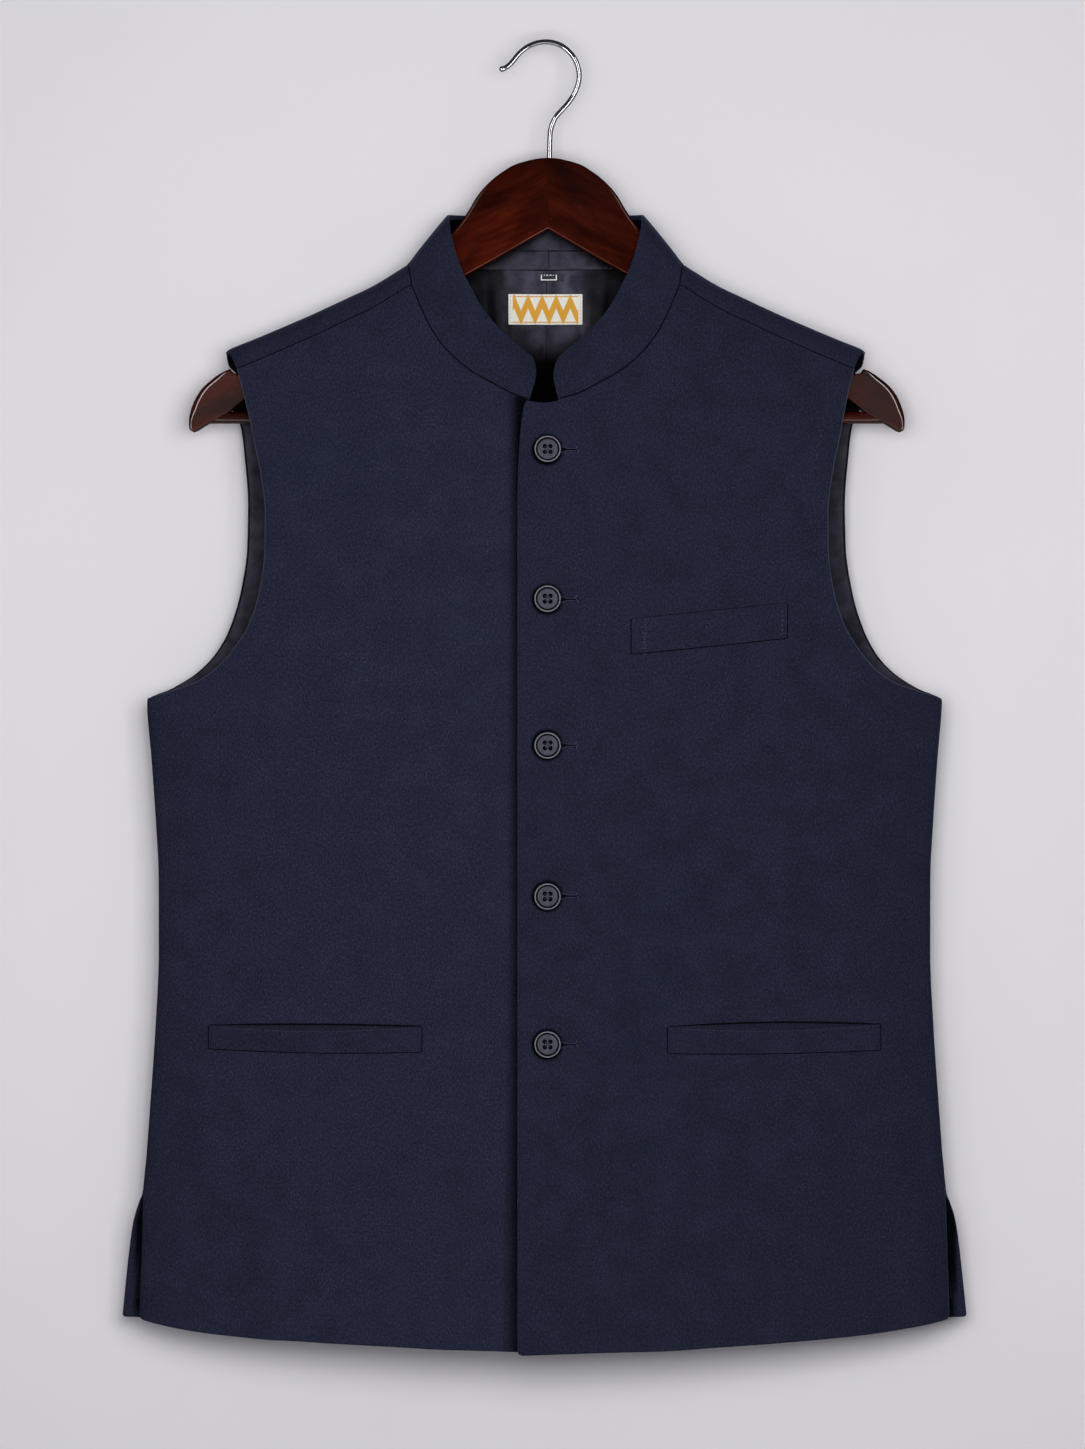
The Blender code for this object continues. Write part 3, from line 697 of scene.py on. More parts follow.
cloth = makeNavyCloth("navyCloth")
buttonShadedCloth = makeNavyCloth("navyClothButtonShade", buttonShaded=True)
shadedCloth = makeNavyCloth("navyClothUnderLap", shaded=True)
liningSatin = makeSatin("liningSatin", "lining", shaded=True)
plainSatin = makeSatin("frontSatin", "lining")
bandSatin = makeSatin("bandSatin", "band", shaded=True)
insideShadeSatin = makeSatin("insideShadeSatin", "inside")
threadLooks = {
    # dark, light, roughness and sheen
    # near black: thread, and painted shadow in the seams, the buttonhole slits and the pocket mouths
    "seamThreadAndShadow": ((0.0012, 0.0015, 0.0036), (0.0026, 0.0031, 0.0066), 0.95, 0.0),
    "napThread": ((0.012, 0.015, 0.030), (0.050, 0.060, 0.085), 0.7, 0.1),
    "purlThread": ((0.020, 0.023, 0.042), (0.048, 0.055, 0.090), 0.8, 0.0),
    # lighter: painted highlight along the fronts' turned edges
    "turnedEdgeHighlight": ((0.026, 0.029, 0.050), (0.048, 0.053, 0.086), 0.9, 0.1),
    "fleckThread": ((0.06, 0.07, 0.10), (0.16, 0.18, 0.23), 0.7, 0.0),
    "buttonThread": ((0.030, 0.032, 0.048), (0.060, 0.064, 0.088), 0.8, 0.0),
    "labelThread": ((0.40, 0.38, 0.32), (0.58, 0.56, 0.48), 0.6, 0.1),
}
darkThreadAndShadow, blueThread, purlThread, rimHighlightThread, fleckThread, slateThread, paleThread = (
    makeThread(name, *look) for name, look in threadLooks.items()
)
print("materials for cloth, lining and thread are ready")


# The fronts

front = {
    "edge": {"over": -17.6, "under": -19.0},
    "overlap": 19.0,
    "underDrop": 3.0,
    "seamDrop": 14.6,
    "armholeAtSeam": 199.0,
    "spacing": 3.7,
    "facing": 30.0,  # the strip of cloth inside the front edge
    "width": 272.0,  # that the stations across a front are spread over
    "closer": (32.0, 1.3, 18),  # more stations on the under front: first, step and number
    "corners": (3.0, 1.8),  # radii at the hem, by the front edge and by the side
    "sagPower": 1.15,
    "lean": (2.6, -300.0, 66.0),  # the over edge leans in at the top: how far, from where, in what length
    "overFade": 45.0,
    "underFade": 30.0,
    # painted shade on the under front beside the over edge: how dark, how far high up and low down
    "lapShade": 0.05,
    "lapShadeReach": (7.0, 10.5),
    "lapShadeFall": (-560.0, 260.0),
    "lapShadePower": 1.05,
    "hemTurn": 22.0,
    "overCorner": [(-11.8, -235.0), (-1.0, -236.4)],
    "cornerArms": [(184.6, -274.0), (186.0, -268.0)],
    # height at the front edge, side seam, height there, sag of the middle
    "body": [
        (-844.3, 261.4, -828.0, 8), (-800, 260.1, -790, 3), (-745, 259.2, -745, 0),
        (-720, 257.2, -720, 0), (-690, 255.0, -690, 0), (-640, 251.6, -640, 0),
        (-590, 249.4, -590, 0), (-543, 249.5, -543, 0), (-504, 251.4, -504, 0),
        (-464, 254.2, -463.6, 0),
    ],
    # the hem: places to the side, with its height there
    "hem": {
        "over": [
            (-17.6, -844.8), (35, -843.1), (73, -842.5), (111, -840.4), (150, -838.4),
            (189, -836.1), (209, -834.6), (228, -832.4), (248, -829.7), (262, -827.2),
        ],
        "under": [
            (-19, -843.2), (17.6, -842.5), (43, -841.8), (61, -841.5), (80, -840.7),
            (99, -839.7), (138, -838.3), (157, -837.4), (177, -837.0), (196, -835.8),
            (216, -834.3), (236, -831.9), (252, -829.3), (262, -827.4),
        ],
    },
    # height at the front edge, armhole, height there
    "chest": [
        (-428, 257.0, -426.9), (-416, 242.0, -421.3), (-404, 226.6, -416.1),
        (-390, 211.9, -406.6), (-374, 200.1, -393.3), (-354, 190.5, -377.3),
        (-330, 184.0, -356.5), (-304, 180.6, -331.0), (-280, 180.4, -306.0),
        (-256, 183.6, -280.0),
    ],
    "armhole": [
        (187.4, -262.0), (189.4, -252.0), (190.9, -244.6), (192.4, -238.0),
        (193.8, -231.8), (195.2, -226.0), (196.6, -220.8), (197.8, -216.4),
    ],
    # start, end, half width, height; +x is the over front, -x the under front
    "folds": [
        ((60, -300), (48, -470), 16, 0.7), ((120, -260), (150, -330), 14, -0.8),
        ((176, -420), (120, -470), 13, 0.9), ((226, -470), (150, -540), 16, -0.9),
        ((205, -560), (232, -720), 17, 0.8), ((110, -560), (92, -626), 14, -0.6),
        ((60, -690), (84, -830), 20, 0.9), ((150, -700), (170, -820), 22, -1.0),
        ((228, -700), (240, -800), 11, 0.9), ((24, -500), (70, -470), 9, -0.45),
        ((26, -600), (90, -585), 8, 0.4), ((-60, -320), (-90, -480), 18, 0.8),
        ((-130, -270), (-165, -350), 13, -0.8), ((-235, -455), (-160, -500), 14, 0.9),
        ((-238, -520), (-190, -640), 17, -0.9), ((-110, -480), (-80, -600), 20, 0.8),
        ((-60, -560), (-40, -640), 12, -0.6), ((-160, -680), (-180, -815), 20, 1.0),
        ((-90, -700), (-110, -830), 18, -0.8), ((-225, -690), (-244, -790), 12, -0.8),
        ((-40, -720), (-52, -820), 10, 0.5), ((-205, -405), (-232, -430), 9, 0.6),
        ((205, -400), (236, -432), 8, -0.6),
    ],
}

# Round the neck: which panel, half width and height (or distance over the ridge) of the
# seam, then the place of the collar's top edge
neck = [
    ("front", 10.8, -234.4, 9.2, -24.5, -206.6), ("front", 21.0, -230.9, 16.5, -25.0, -200.0),
    ("front", 34.2, -223.9, 25.0, -25.0, -192.6), ("front", 48.5, -215.8, 34.5, -24.0, -182.8),
    ("front", 61.8, -204.4, 42.6, -22.0, -172.2), ("front", 71.8, -191.8, 48.0, -19.0, -162.0),
    ("front", 79.0, -178.2, 54.0, -16.0, -149.6), ("front", 83.9, -166.4, 57.6, -13.6, -140.0),
    ("roll", 86.8, 19.2, 60.4, -13.6, -129.6), ("roll", 87.8, 12.0, 61.6, -12.6, -123.4),
    ("roll", 88.4, 8.0, 62.0, -11.0, -119.4), ("roll", 88.7, 4.0, 62.4, -8.2, -116.4),
    ("roll", 88.8, 0.0, 62.6, -4.6, -114.2), ("roll", 88.6, -4.0, 63.0, 0.0, -112.6),
    ("roll", 87.4, -8.0, 61.6, 5.0, -111.6), ("back", 76.0, -145.6, 56.0, 10.5, -110.8),
    ("back", 52.0, -145.3, 41.0, 17.0, -109.8), ("back", 26.0, -145.1, 21.0, 21.0, -109.0),
    ("back", 0.0, -145.0, 0.0, 22.5, -108.8),
]


hemAt = {
    key: smoothTable([x for x, _ in line], [[z] for _, z in line])
    for key, line in front["hem"].items()
}


def overLift(x, over):
    gap = body["seamGap"]
    if over:
        fade = smooth((x - front["overlap"] - 1.0) / front["overFade"])
        return (body["clothThick"] + 3 * gap) * (1.0 - fade)
    return -2 * gap * (1.0 - smooth((x + front["overlap"]) / front["underFade"]))


def frontSections(over):
    edge = front["edge"]["over" if over else "under"]
    for edgeZ, sideX, sideZ, sag in front["body"]:
        yield (edge, edgeZ), (sideX, sideZ), sag
    far, low, length = front["lean"]
    for edgeZ, armX, armZ in front["chest"]:
        lean = far * smooth((edgeZ - low) / length) if over else 0.0
        yield (edge + lean, edgeZ), (armX, armZ), 0.0
    drop = 0.0 if over else front["underDrop"]
    top = front["overCorner"]
    corners = top if over else [(edge, top[0][1]), top[1]]
    for (x, z), arm in zip(corners, front["cornerArms"]):
        yield (x, z - drop), arm, 0.0
    seam = [(row[1], row[2]) for row in neck if row[0] == "front"]
    for inner, arm in zip(seam, front["armhole"]):
        yield inner, arm, 0.0
    yield (neck[len(seam)][1], None), (front["armholeAtSeam"], None), 0.0


def frontGrid(over):
    # the flat outline of a front, as if it were the one on +x
    lap = "over" if over else "under"
    offsets = spots(front["width"], front["spacing"])
    if not over:
        first, step, count = front["closer"]
        offsets = sorted(set(offsets) | {first + step * i for i in range(count)})
    shares = [offset / front["width"] for offset in offsets]
    coarse = []
    for (innerX, innerZ), (outerX, outerZ), sag in frontSections(over):
        row = []
        for share in shares:
            x = mix(innerX, outerX, share)
            if not coarse:
                z = hemAt[lap](x)[0]
            elif innerZ is None:
                z = ridge(x) - front["seamDrop"] - body["seamGap"] / 2
            else:
                z = mix(innerZ, outerZ, share) - sag * math.sin(math.pi * share ** front["sagPower"])
            row.append((x, z))
        coarse.append(row)
    edge, hemX = front["edge"][lap], front["body"][0][1]
    edgeZ, hemZ = coarse[0][0][1], coarse[0][-1][1]
    edgeRadius, sideRadius = front["corners"]
    rows = []
    for row in filled(coarse, front["spacing"], body["edgeStations"]):
        row = [roundCorner(x, z, edge, edgeZ, (1, 1), edgeRadius) for x, z in row]
        rows.append([roundCorner(x, z, hemX, hemZ, (-1, 1), sideRadius) for x, z in row])
    return rows


def frontInner(x, z, over):
    # a point of a front's inner face; x has the side's own sign
    side = 1 if over else -1
    point = frontPoint(x * side, z, overLift(x * side, over) + crease(x, z, front["folds"]))
    point.x = sway(point.x * side, z)
    return point


def frontOuter(x, z, over, raised=0.0, step=0.5):
    # a place on a front's outer face, with its outward direction
    point = frontInner(x, z, over)
    right, up = frontInner(x + step, z, over) - point, frontInner(x, z + step, over) - point
    outward = right.cross(up).normalized()
    return point + outward * (body["clothThick"] + raised), outward


def underShade(x, z):
    # painted shade: the under front darkens beside the edge that laps over it
    top, length = front["lapShadeFall"]
    reach = mix(*front["lapShadeReach"], smooth((top - z) / length))
    share = min(max((front["edge"]["over"] - x) / reach, 0.0), 1.0)
    return mix(front["lapShade"], 1.0, share ** front["lapShadePower"])


def makeFront(over):
    side, label = (1, "left") if over else (-1, "right")
    flat = frontGrid(over)
    rows = [[frontInner(x * side, z, over) for x, z in row] for row in flat]
    weave = [[(x * side, z) for x, z in row] for row in flat]
    shade = None if over else [[underShade(x, z) for x, z in row] for row in weave]
    turned = front["body"][0][0] + front["hemTurn"]

    def inner(i, j):
        x, z = flat[i][j]
        return 0 if x < front["facing"] or z < turned else 1

    fabrics = [buttonShadedCloth if over else shadedCloth, plainSatin]
    name = "front_" + label
    piece = sewnPanel(name + "_cloth", rows, weave, body["clothThick"], side, fabrics, inner, shade=shade)
    settle(piece, "cloth", name)
    return flat


leftFlat, rightFlat = makeFront(True), makeFront(False)
print("fronts are sewn")


# The back, which rolls over the shoulders to the front

back = {
    "spacing": 4.2,
    # height at the centre, half width, height there
    "body": [
        (-836, 274.8, -828), (-795, 271.0, -792), (-765, 266.9, -765), (-752, 262.8, -752),
        (-745, 260.0, -745), (-720, 257.2, -720), (-690, 255.0, -690), (-640, 251.6, -640),
        (-590, 249.4, -590), (-543, 249.5, -543), (-504, 251.4, -504), (-463.6, 254.2, -463.6),
    ],
    "chest": [
        (-428, 257.0, -426.9), (-410, 242.0, -418.6), (-393, 227.4, -409.0), (-374, 215.5, -396.2),
        (-352, 206.5, -379), (-325, 199.5, -355), (-295, 195.3, -326), (-262, 194.7, -298),
        (-228, 196.6, -270), (-190, 199.2, -248), (-168, 204.2, -236),
    ],
    "armhole": [(200.4, -227), (199.2, -219.0), (201.6, -213.0), (205.9, -208.6)],
    "liningHem": 12.0,
    "liningVent": 9.0,
    "liningSide": 6.0,
    "liningArmhole": 1.0,
    "liningNeck": 1.0,
    "liningSteps": ((1.9, 40), (5.6, 36)),  # spacing and count of the close columns, then of the wide ones
    "ventRows": 3,  # the lowest rows of the table, whose lining keeps clear of the vents
    "width": 270.0,
    "corner": 1.6,  # radius of the corner at the hem
    "foldFade": 40.0,
    "folds": [
        ((-150, -215), (-120, -330), 20, 1.4), ((150, -215), (112, -350), 22, 1.2),
        ((-196, -300), (-150, -370), 13, -1.2), ((200, -310), (160, -390), 12, -1.0),
        ((-60, -170), (-85, -300), 16, -0.8), ((70, -175), (60, -290), 14, -0.9),
        ((-40, -420), (-70, -620), 22, 1.5), ((60, -450), (86, -640), 24, -1.3),
        ((-150, -470), (-170, -700), 20, -1.4), ((165, -460), (190, -690), 18, 1.3),
        ((-235, -480), (-190, -560), 13, 1.0), ((238, -480), (200, -590), 12, -1.0),
        ((-90, -640), (-110, -830), 20, 1.6), ((110, -660), (120, -832), 22, -1.5),
        ((-210, -700), (-232, -826), 14, -1.2), ((216, -690), (238, -826), 13, 1.2),
        ((20, -640), (34, -834), 16, 1.0), ((-30, -240), (30, -252), 12, 0.7),
    ],
}

# painted shade inside the vents: its edge, reach, where it opens and closes, a ripple, and its tones
vent = {
    "edge": ((-760.0, 262.0), (-828.0, 264.1)),  # height and place of the front's edge, twice
    "reach": {"left": 5.2, "right": 3.6},  # how far the dark reaches out from that edge
    "opens": (-746.0, 22.0),  # height where the dark starts, and how far below it is full
    "closes": (-806.0, 24.0, 0.6),  # the same where it narrows towards the hem, and by what share
    "ripple": (0.05, 0.9, 0.05),  # how much, and its rates across and along
    "dark": 0.07,
    "lit": 0.95,
    "soft": 2.8,
    "softShift": 0.35,
    "clothAbove": 6.0,  # the cloth inside a vent starts this far above its top
}


def backSections():
    for middleZ, x, z in back["body"] + back["chest"]:
        yield (0.0, behind(0.0, middleZ)), (x, behind(x, z))
    nape = [(row[1], row[2]) for row in reversed(neck) if row[0] == "back"]
    for (innerX, innerZ), (x, z) in zip(nape, back["armhole"]):
        yield (innerX, behind(innerX, innerZ)), (x, behind(x, z))
    seam = front["seamDrop"] - body["seamGap"] / 2 - body["rollRadius"] + quarter
    shoulder = body["ridge"][-1][0]
    for where, innerX, over, *_ in reversed(neck):
        if where == "roll":
            over = min(over, seam)
            reach = (shoulder - front["armholeAtSeam"]) * max(over, 0.0) / seam
            yield (innerX, over), (shoulder - reach, over)


def backCoarse(trimmed=False):
    # rows of the right half as (x, distance past the ridge plus the ridge's height)
    offsets = spots(back["width"], back["spacing"])
    if trimmed:  # close together behind the neck opening, where the small folds are
        (close, near), (wide, far) = back["liningSteps"]
        offsets = [close * i for i in range(near)]
        offsets += [offsets[-1] + wide * i for i in range(1, far)]
    shares = [offset / offsets[-1] for offset in offsets]
    sections = list(backSections())
    lined = len(back["body"]) + len(back["chest"])
    if trimmed:
        sections = sections[: lined + len(back["armhole"])]
    coarse = []
    for number, ((innerX, innerOver), (outerX, outerOver)) in enumerate(sections):
        innerV, outerV = ridge(innerX) + innerOver, ridge(outerX) + outerOver
        start, end = 0.0, 1.0
        if trimmed:
            width = math.hypot(outerX - innerX, outerV - innerV)
            margin = back["liningArmhole"]
            if number <= len(back["body"]):
                margin = back["liningVent" if number < back["ventRows"] else "liningSide"]
            end = 1.0 - margin / width
            if number > lined:
                start = back["liningNeck"] / width
        row = []
        for share in shares:
            part = mix(start, end, share)
            v = ridge(mix(innerX, outerX, part)) + innerOver
            if outerOver != innerOver:
                v = mix(innerV, outerV, part)
            if trimmed and number == 0:
                v += back["liningHem"]
            if trimmed and number == lined:
                v -= back["liningNeck"] * (1.0 - part)
            row.append((mix(innerX, outerX, part), v))
        coarse.append(row)
    return coarse


def backFold(x, v):
    return crease(x, heightAt(v), back["folds"]) * smooth((ridge(x) - v) / back["foldFade"])


def backPoint(x, v):
    point = rollPoint(x, v - ridge(x), backFold(x, v))
    point.x = sway(x, point.z)
    return point


def halfPanels(target, slot, fabric, half, place, thick, materials, bulge, shadeAt, innerAt=None):
    # the two halves of a part that is joined down the centre back
    for side, label in ((1, "left"), (-1, "right")):
        flat = [[(side * max(x, body["seamGap"]), v) for x, v in row] for row in half]
        rows = [[place(x, v) for x, v in row] for row in flat]
        shade = [[shadeAt(x, v) for x, v in row] for row in flat]

        def inner(i, j):
            return innerAt(*flat[i][j]) if innerAt else 0

        name = f"{target}_{label}_{fabric}"
        piece = sewnPanel(name, rows, flat, thick, -side, materials, inner, bulge, shade, not innerAt)
        settle(piece, slot, target)


def ventShade(x, v):
    # painted shade: inside a vent the back darkens towards the front that hangs over it
    z = heightAt(v)
    (high, nearX), (low, farX) = vent["edge"]
    off = abs(x) - mix(nearX, farX, (high - z) / (high - low))
    (top, length), (end, endLength, share) = vent["opens"], vent["closes"]
    open = smooth((top - z) / length) * (1.0 - share * smooth((end - z) / endLength))
    amount, across, along = vent["ripple"]
    dark = vent["dark"] + amount * noise.noise(Vector((x * across, z * along, 0.0)))
    off -= vent["reach"]["left" if x > 0 else "right"] * open
    return mix(dark, vent["lit"], smooth(off / vent["soft"] + vent["softShift"]))


def backInner(x, v):
    # cloth shows inside the vents; elsewhere near-black satin, painted shade inside the back
    return 1 if heightAt(v) < body["ventTop"] + vent["clothAbove"] else 2


def makeBack():
    half = []
    hem = back["body"][0]
    cornerV = ridge(hem[1]) + behind(hem[1], hem[2])
    for row in filled(backCoarse(), back["spacing"], body["edgeStations"]):
        half.append([roundCorner(x, v, hem[1], cornerV, (-1, 1), back["corner"]) for x, v in row])
    fabrics = [cloth, shadedCloth, insideShadeSatin]
    halfPanels(
        "back", "cloth", "cloth", half, backPoint, body["clothThick"], fabrics, 0.5, ventShade, backInner
    )
    return half


backHalf = makeBack()
print("back is sewn")


# The lining of the back

liningLook = {
    "gap": 0.45,
    "leastGap": 0.4,
    "thick": 0.8,
    "stations": (6.0, (), (110.0, 2.0)),  # spacing, no extra rows, then the closer rows' length and spacing
    "foldFade": 25.0,
    # painted shade below the hanger: its inner corner, the slope of its edges, the darkest tone and its
    # reach
    "notch": (1.3, -116.4),  # the hanger's inner corner as it stands before the lining
    "notchFall": 0.675,
    "notchTone": 0.12,
    "notchReach": 10.5,
    # painted shade in the hollows: place, half width, half height and depth
    "shadows": [
        (-15, -188, 8, 12, 0.62), (-24, -184, 2.5, 12, 0.5), (-34, -166, 3.5, 22, 0.5),
        (33, -168, 4, 24, 0.5), (-2.4, -196, 1.6, 4, 0.6), (22, -190, 3, 10, 0.4),
        (27, -150, 3, 12, 0.4), (-44, -158, 3, 14, 0.5),
    ],
    # start, end, half width, height; above 0 stands in towards the front
    "folds": [
        ((-34, -150), (-31, -205), 3.4, 1.7), ((-41, -152), (-43, -220), 3.0, -1.2),
        ((-24, -182), (-26, -220), 3.0, 0.8), ((38, -150), (36, -200), 3.6, 1.5),
        ((46, -152), (50, -214), 3.4, -1.3), ((31, -186), (27, -224), 2.6, 0.8),
        ((-8, -150), (-12, -160), 4.0, 0.5), ((16, -184), (20, -216), 4.4, 0.6),
        ((-16, -184), (-14, -215), 5.0, -0.6), ((-52, -160), (-62, -240), 5.0, 1.4),
        ((58, -160), (64, -250), 6.0, 1.2), ((-150, -240), (-178, -330), 7.0, 1.6),
        ((152, -240), (180, -340), 7.0, 1.5), ((-185, -330), (-214, -400), 6.0, -1.4),
        ((186, -330), (212, -398), 6.0, 1.3), ((-100, -260), (-120, -480), 12, 2.0),
        ((95, -260), (110, -500), 12, 1.8), ((-230, -760), (-262, -770), 5.0, 0.9),
        ((240, -752), (264, -790), 5.0, 1.0), ((-252, -770), (-262, -810), 4.0, -0.9),
        ((-60, -560), (-50, -800), 14, 2.0), ((80, -580), (96, -800), 14, -1.6),
    ],
}

# painted light and shade on the back lining
liningTone = {
    # each span is a start and a length
    "opening": (60.0, 30.0),
    "middle": 0.5,
    "beside": (21.0, 12.0),
    "besideDark": 0.80,
    "lit": 1.50,
    "litEnd": (230.0, 40.0),
    "overall": 0.92,
    # how much, rates across and along, and seed
    "streaks": ((1.0, 0.17, 0.016, 3.0), (0.5, 0.34, 0.03, 7.0)),
    "streakDepths": (0.40, 0.90),
    "lowDark": 0.98,
    "lowFrom": (183.0, 23.0),
    "lowTo": (300.0, 120.0),
    "endDark": 0.95,
    "endFrom": (178.0, 8.0),
    "endAbove": (-247.0, 6.0),
    "ventTone": 0.12,
    "ventAbove": 4.0,
}


def liningPoint(x, v):
    over = v - ridge(x)
    fade = smooth(-over / liningLook["foldFade"])
    inset = liningLook["gap"] + crease(x, heightAt(v), liningLook["folds"]) * fade
    point = rollPoint(x, over, backFold(x, v) - max(inset, liningLook["leastGap"]))
    point.x = sway(x, point.z)
    return point


def underHanger(x, z):
    # painted shade: the lining is darkest close below the hanger
    notchX, notchZ = liningLook["notch"]
    off = notchZ - liningLook["notchFall"] * abs(x - notchX) - z
    return mix(liningLook["notchTone"], 1.0, smooth(off / liningLook["notchReach"]))


def past(value, span):
    # from 0 at the span's start to 1 at the end of its length
    start, length = span
    return smooth((value - start) / length)


def liningShade(x, v):
    # painted light and shade: lit behind the neck opening, with painted dark streaks beside its soft
    # folds, then painted shade below the collar, at the ends of the shoulders and in the vents
    z, look = heightAt(v), liningTone
    near = 1.0 - past(abs(x), look["opening"])
    beside = past(abs(x - look["middle"]), look["beside"])
    streak = 0.0
    for amount, across, along, seed in look["streaks"]:
        streak += amount * noise.noise(Vector((x * across, z * along, seed)))
    tone = mix(1.0, look["lit"], near * (1.0 - past(-z, look["litEnd"])))
    for middle, height, wide, tall, depth in liningLook["shadows"]:
        tone *= 1.0 - depth * math.exp(-(((x - middle) / wide) ** 2) - ((z - height) / tall) ** 2)
    tone *= look["overall"] * (1.0 - near * look["besideDark"] * beside)
    tone *= mix(1.0, underHanger(x, z), near) * (1.0 + near * mix(*look["streakDepths"], beside) * streak)
    tone *= 1.0 - look["lowDark"] * near * past(-z, look["lowFrom"]) * (1.0 - past(-z, look["lowTo"]))
    tone *= 1.0 - look["endDark"] * past(abs(x), look["endFrom"]) * past(z, look["endAbove"])
    return tone * (look["ventTone"] if z < body["ventTop"] + look["ventAbove"] else 1.0)


halfPanels(
    "back_lining", "lining", "satin", filled(backCoarse(True), *liningLook["stations"]),
    liningPoint, liningLook["thick"], [liningSatin], 0.25, liningShade,
)
print("back lining is in")


# The stand collar and its lining

collar = {
    "endBulge": 3.0,
    "endReach": 9.0,
    "bow": 0.7,
    "tall": 36.0,
    "spacing": 3.0,
    # shares of the height where the cloth has its rows, and the lining its own
    "rows": [0.022, 0.06, *steps(12, 0.12, 0.94), 0.975, 1.0],
    "liningRows": steps(12, 0.0, 0.94),
    "overEndShift": -2.2,  # the collar's end on the over front starts nearer the middle
    "liningThick": 0.9,
    "liningSeam": 0.34,  # share of the height where the lining is joined
    # painted shade at the sides of the collar lining
    "sideTone": (0.22, (36.0, 18.0)),  # how dark the lining is at the sides, and where
    "mottle": (0.3, 0.11, 0.2),  # how much, and its rates across and along
}


def neckBase(row):
    where, x, height = row[:3]
    if where == "front":
        return frontPoint(x, height)
    return rollPoint(x, height if where == "roll" else behind(x, height))


def collarRing():
    # dense stations round the neck: base, top and place, from -x round to +x
    half = [(neckBase(row), Vector(row[3:])) for row in neck]
    full = [tuple(Vector((-point.x, point.y, point.z)) for point in pair) for pair in half[:-1]]
    full += half[::-1]
    keys = [0.0]
    for (b1, t1), (b2, t2) in zip(full, full[1:]):
        keys.append(keys[-1] + ((b2 - b1).length + (t2 - t1).length) / 2)
    at = smoothTable(keys, [(*base, *top) for base, top in full])
    places = spots(keys[-1], collar["spacing"], (0.9, 2.0))
    return [(Vector(at(place)[:3]), Vector(at(place)[3:]), place) for place in places]


def collarGrid(shares, lift):
    ring = collarRing()
    total = ring[-1][2]
    rows, weave = [], []
    for share in shares:
        line = []
        for k, (base, top, place) in enumerate(ring):
            point = base.lerp(top, share)
            near = math.exp(-((min(place, total - place) / collar["endReach"]) ** 2))
            side = 1 if place < total / 2 else -1
            point.x += collar["endBulge"] * math.sin(math.pi * share ** 1.35) * near * side
            if side < 0:
                point.x += collar["overEndShift"] * (1.0 - share) * near
            before, after = ring[max(k - 1, 0)], ring[min(k + 1, len(ring) - 1)]
            run = after[0].lerp(after[1], share) - before[0].lerp(before[1], share)
            outward = (top - base).cross(run).normalized()
            line.append(point + outward * (lift + collar["bow"] * math.sin(math.pi * share)))
        rows.append(line)
        weave.append([(place, share * collar["tall"]) for _, _, place in ring])
    return rows, weave


# painted shade on the collar lining: dark at the sides and below the hanger, with a random mottle
def bandShade(point):
    dark, sides = collar["sideTone"]
    amount, across, along = collar["mottle"]
    mottle = noise.noise(Vector((point.x * across, point.z * along, 2.0)))
    tone = mix(1.0, dark, past(abs(point.x), sides))
    return tone * underHanger(point.x, point.z) * (1.0 + amount * mottle)


def makeCollar():
    rows, weave = collarGrid(collar["rows"], 0.0)
    outer = sewnPanel("collar_cloth", rows, weave, body["clothThick"], -1, [cloth], None, 0.6)
    settle(outer, "cloth", "collar")
    rows, weave = collarGrid(collar["liningRows"], -liningLook["gap"])
    shade = [[bandShade(point) for point in row] for row in rows]
    thick = collar["liningThick"]
    lined = sewnPanel("collar_lining_satin", rows, weave, thick, -1, [bandSatin], None, 0.3, shade, True)
    settle(lined, "lining", "collar_lining")


makeCollar()
print("collar is on")


# Pocket welts

welts = {
    # corners clockwise from the top left, then how far the top edge sags
    "breast": {"node": "breast_welt", "over": True, "sag": 0.3, "bow": 0.2, "raise": 0.10,
               "thick": 0.75, "rise": 0.0,
               "corners": [(54.9, -375.0), (154.0, -364.6), (153.7, -386.6), (55.1, -397.0)]},
    "left": {"node": "pocket_welt_left", "over": True, "sag": 2.9, "bow": 0.9, "raise": 0.12,
             "thick": 0.8, "rise": 2.2,
             "corners": [(78.6, -636.4), (216.0, -636.1), (216.0, -652.1), (78.8, -652.9)]},
    "right": {"node": "pocket_welt_right", "over": False, "sag": 3.0, "bow": 1.2, "raise": 0.12,
              "thick": 0.8, "rise": 1.1,
              "corners": [(-216.0, -636.7), (-79.6, -636.2), (-79.8, -652.1), (-216.0, -651.3)]},
    "mapStart": (40.0, 7.0),
    "ups": [0.0, 0.05, 0.12, 0.25, 0.4, 0.55, 0.7, 0.85, 0.94, 1.0],
    "pillow": 0.16,
    "mouthLap": (0.3, 0.6),  # how far the mouth's two edges lap past the line between the corners
    "mouthEnd": 0.26,
    "seamShift": (0.3, 0.42, 0.38),  # outward, to the sides and down
    "pickRaise": 0.75,
    "pickGrid": (3, 54, 56),  # first, last and number of the picks' places
    "pickShift": (-0.25, 0.25, 1.7),  # height, how much it wanders, and how fast
    "pickSize": (1.8, 0.26),
    "tackSpan": (0.12, 0.9),
    "tackWander": (0.006, 3.1, 90.0),
    "tackSize": (0.9, 0.2),
    "tacks": ((0.085, 9), (0.075, 5), (0.968, 6)),
    # the lip's tones are painted shade, from the welt's edge to the mouth
    "lip": {"downs": [0.0, 0.2, 0.45, 0.7, 1.0], "ends": (0.02, 0.98), "tones": (0.90, 0.62), "thick": 0.25,
            "raise": 0.04, "bulge": 0.05, "mapStart": 300.0, "mapSize": (137.0, 6.0)},
    "seamRadius": 0.46,
    "faintRadius": 0.19,
    "mouthRadius": 0.66,
}


def weltSag(welt, across):
    return welt["sag"] * math.sin(math.pi * across ** 0.92) ** 0.8


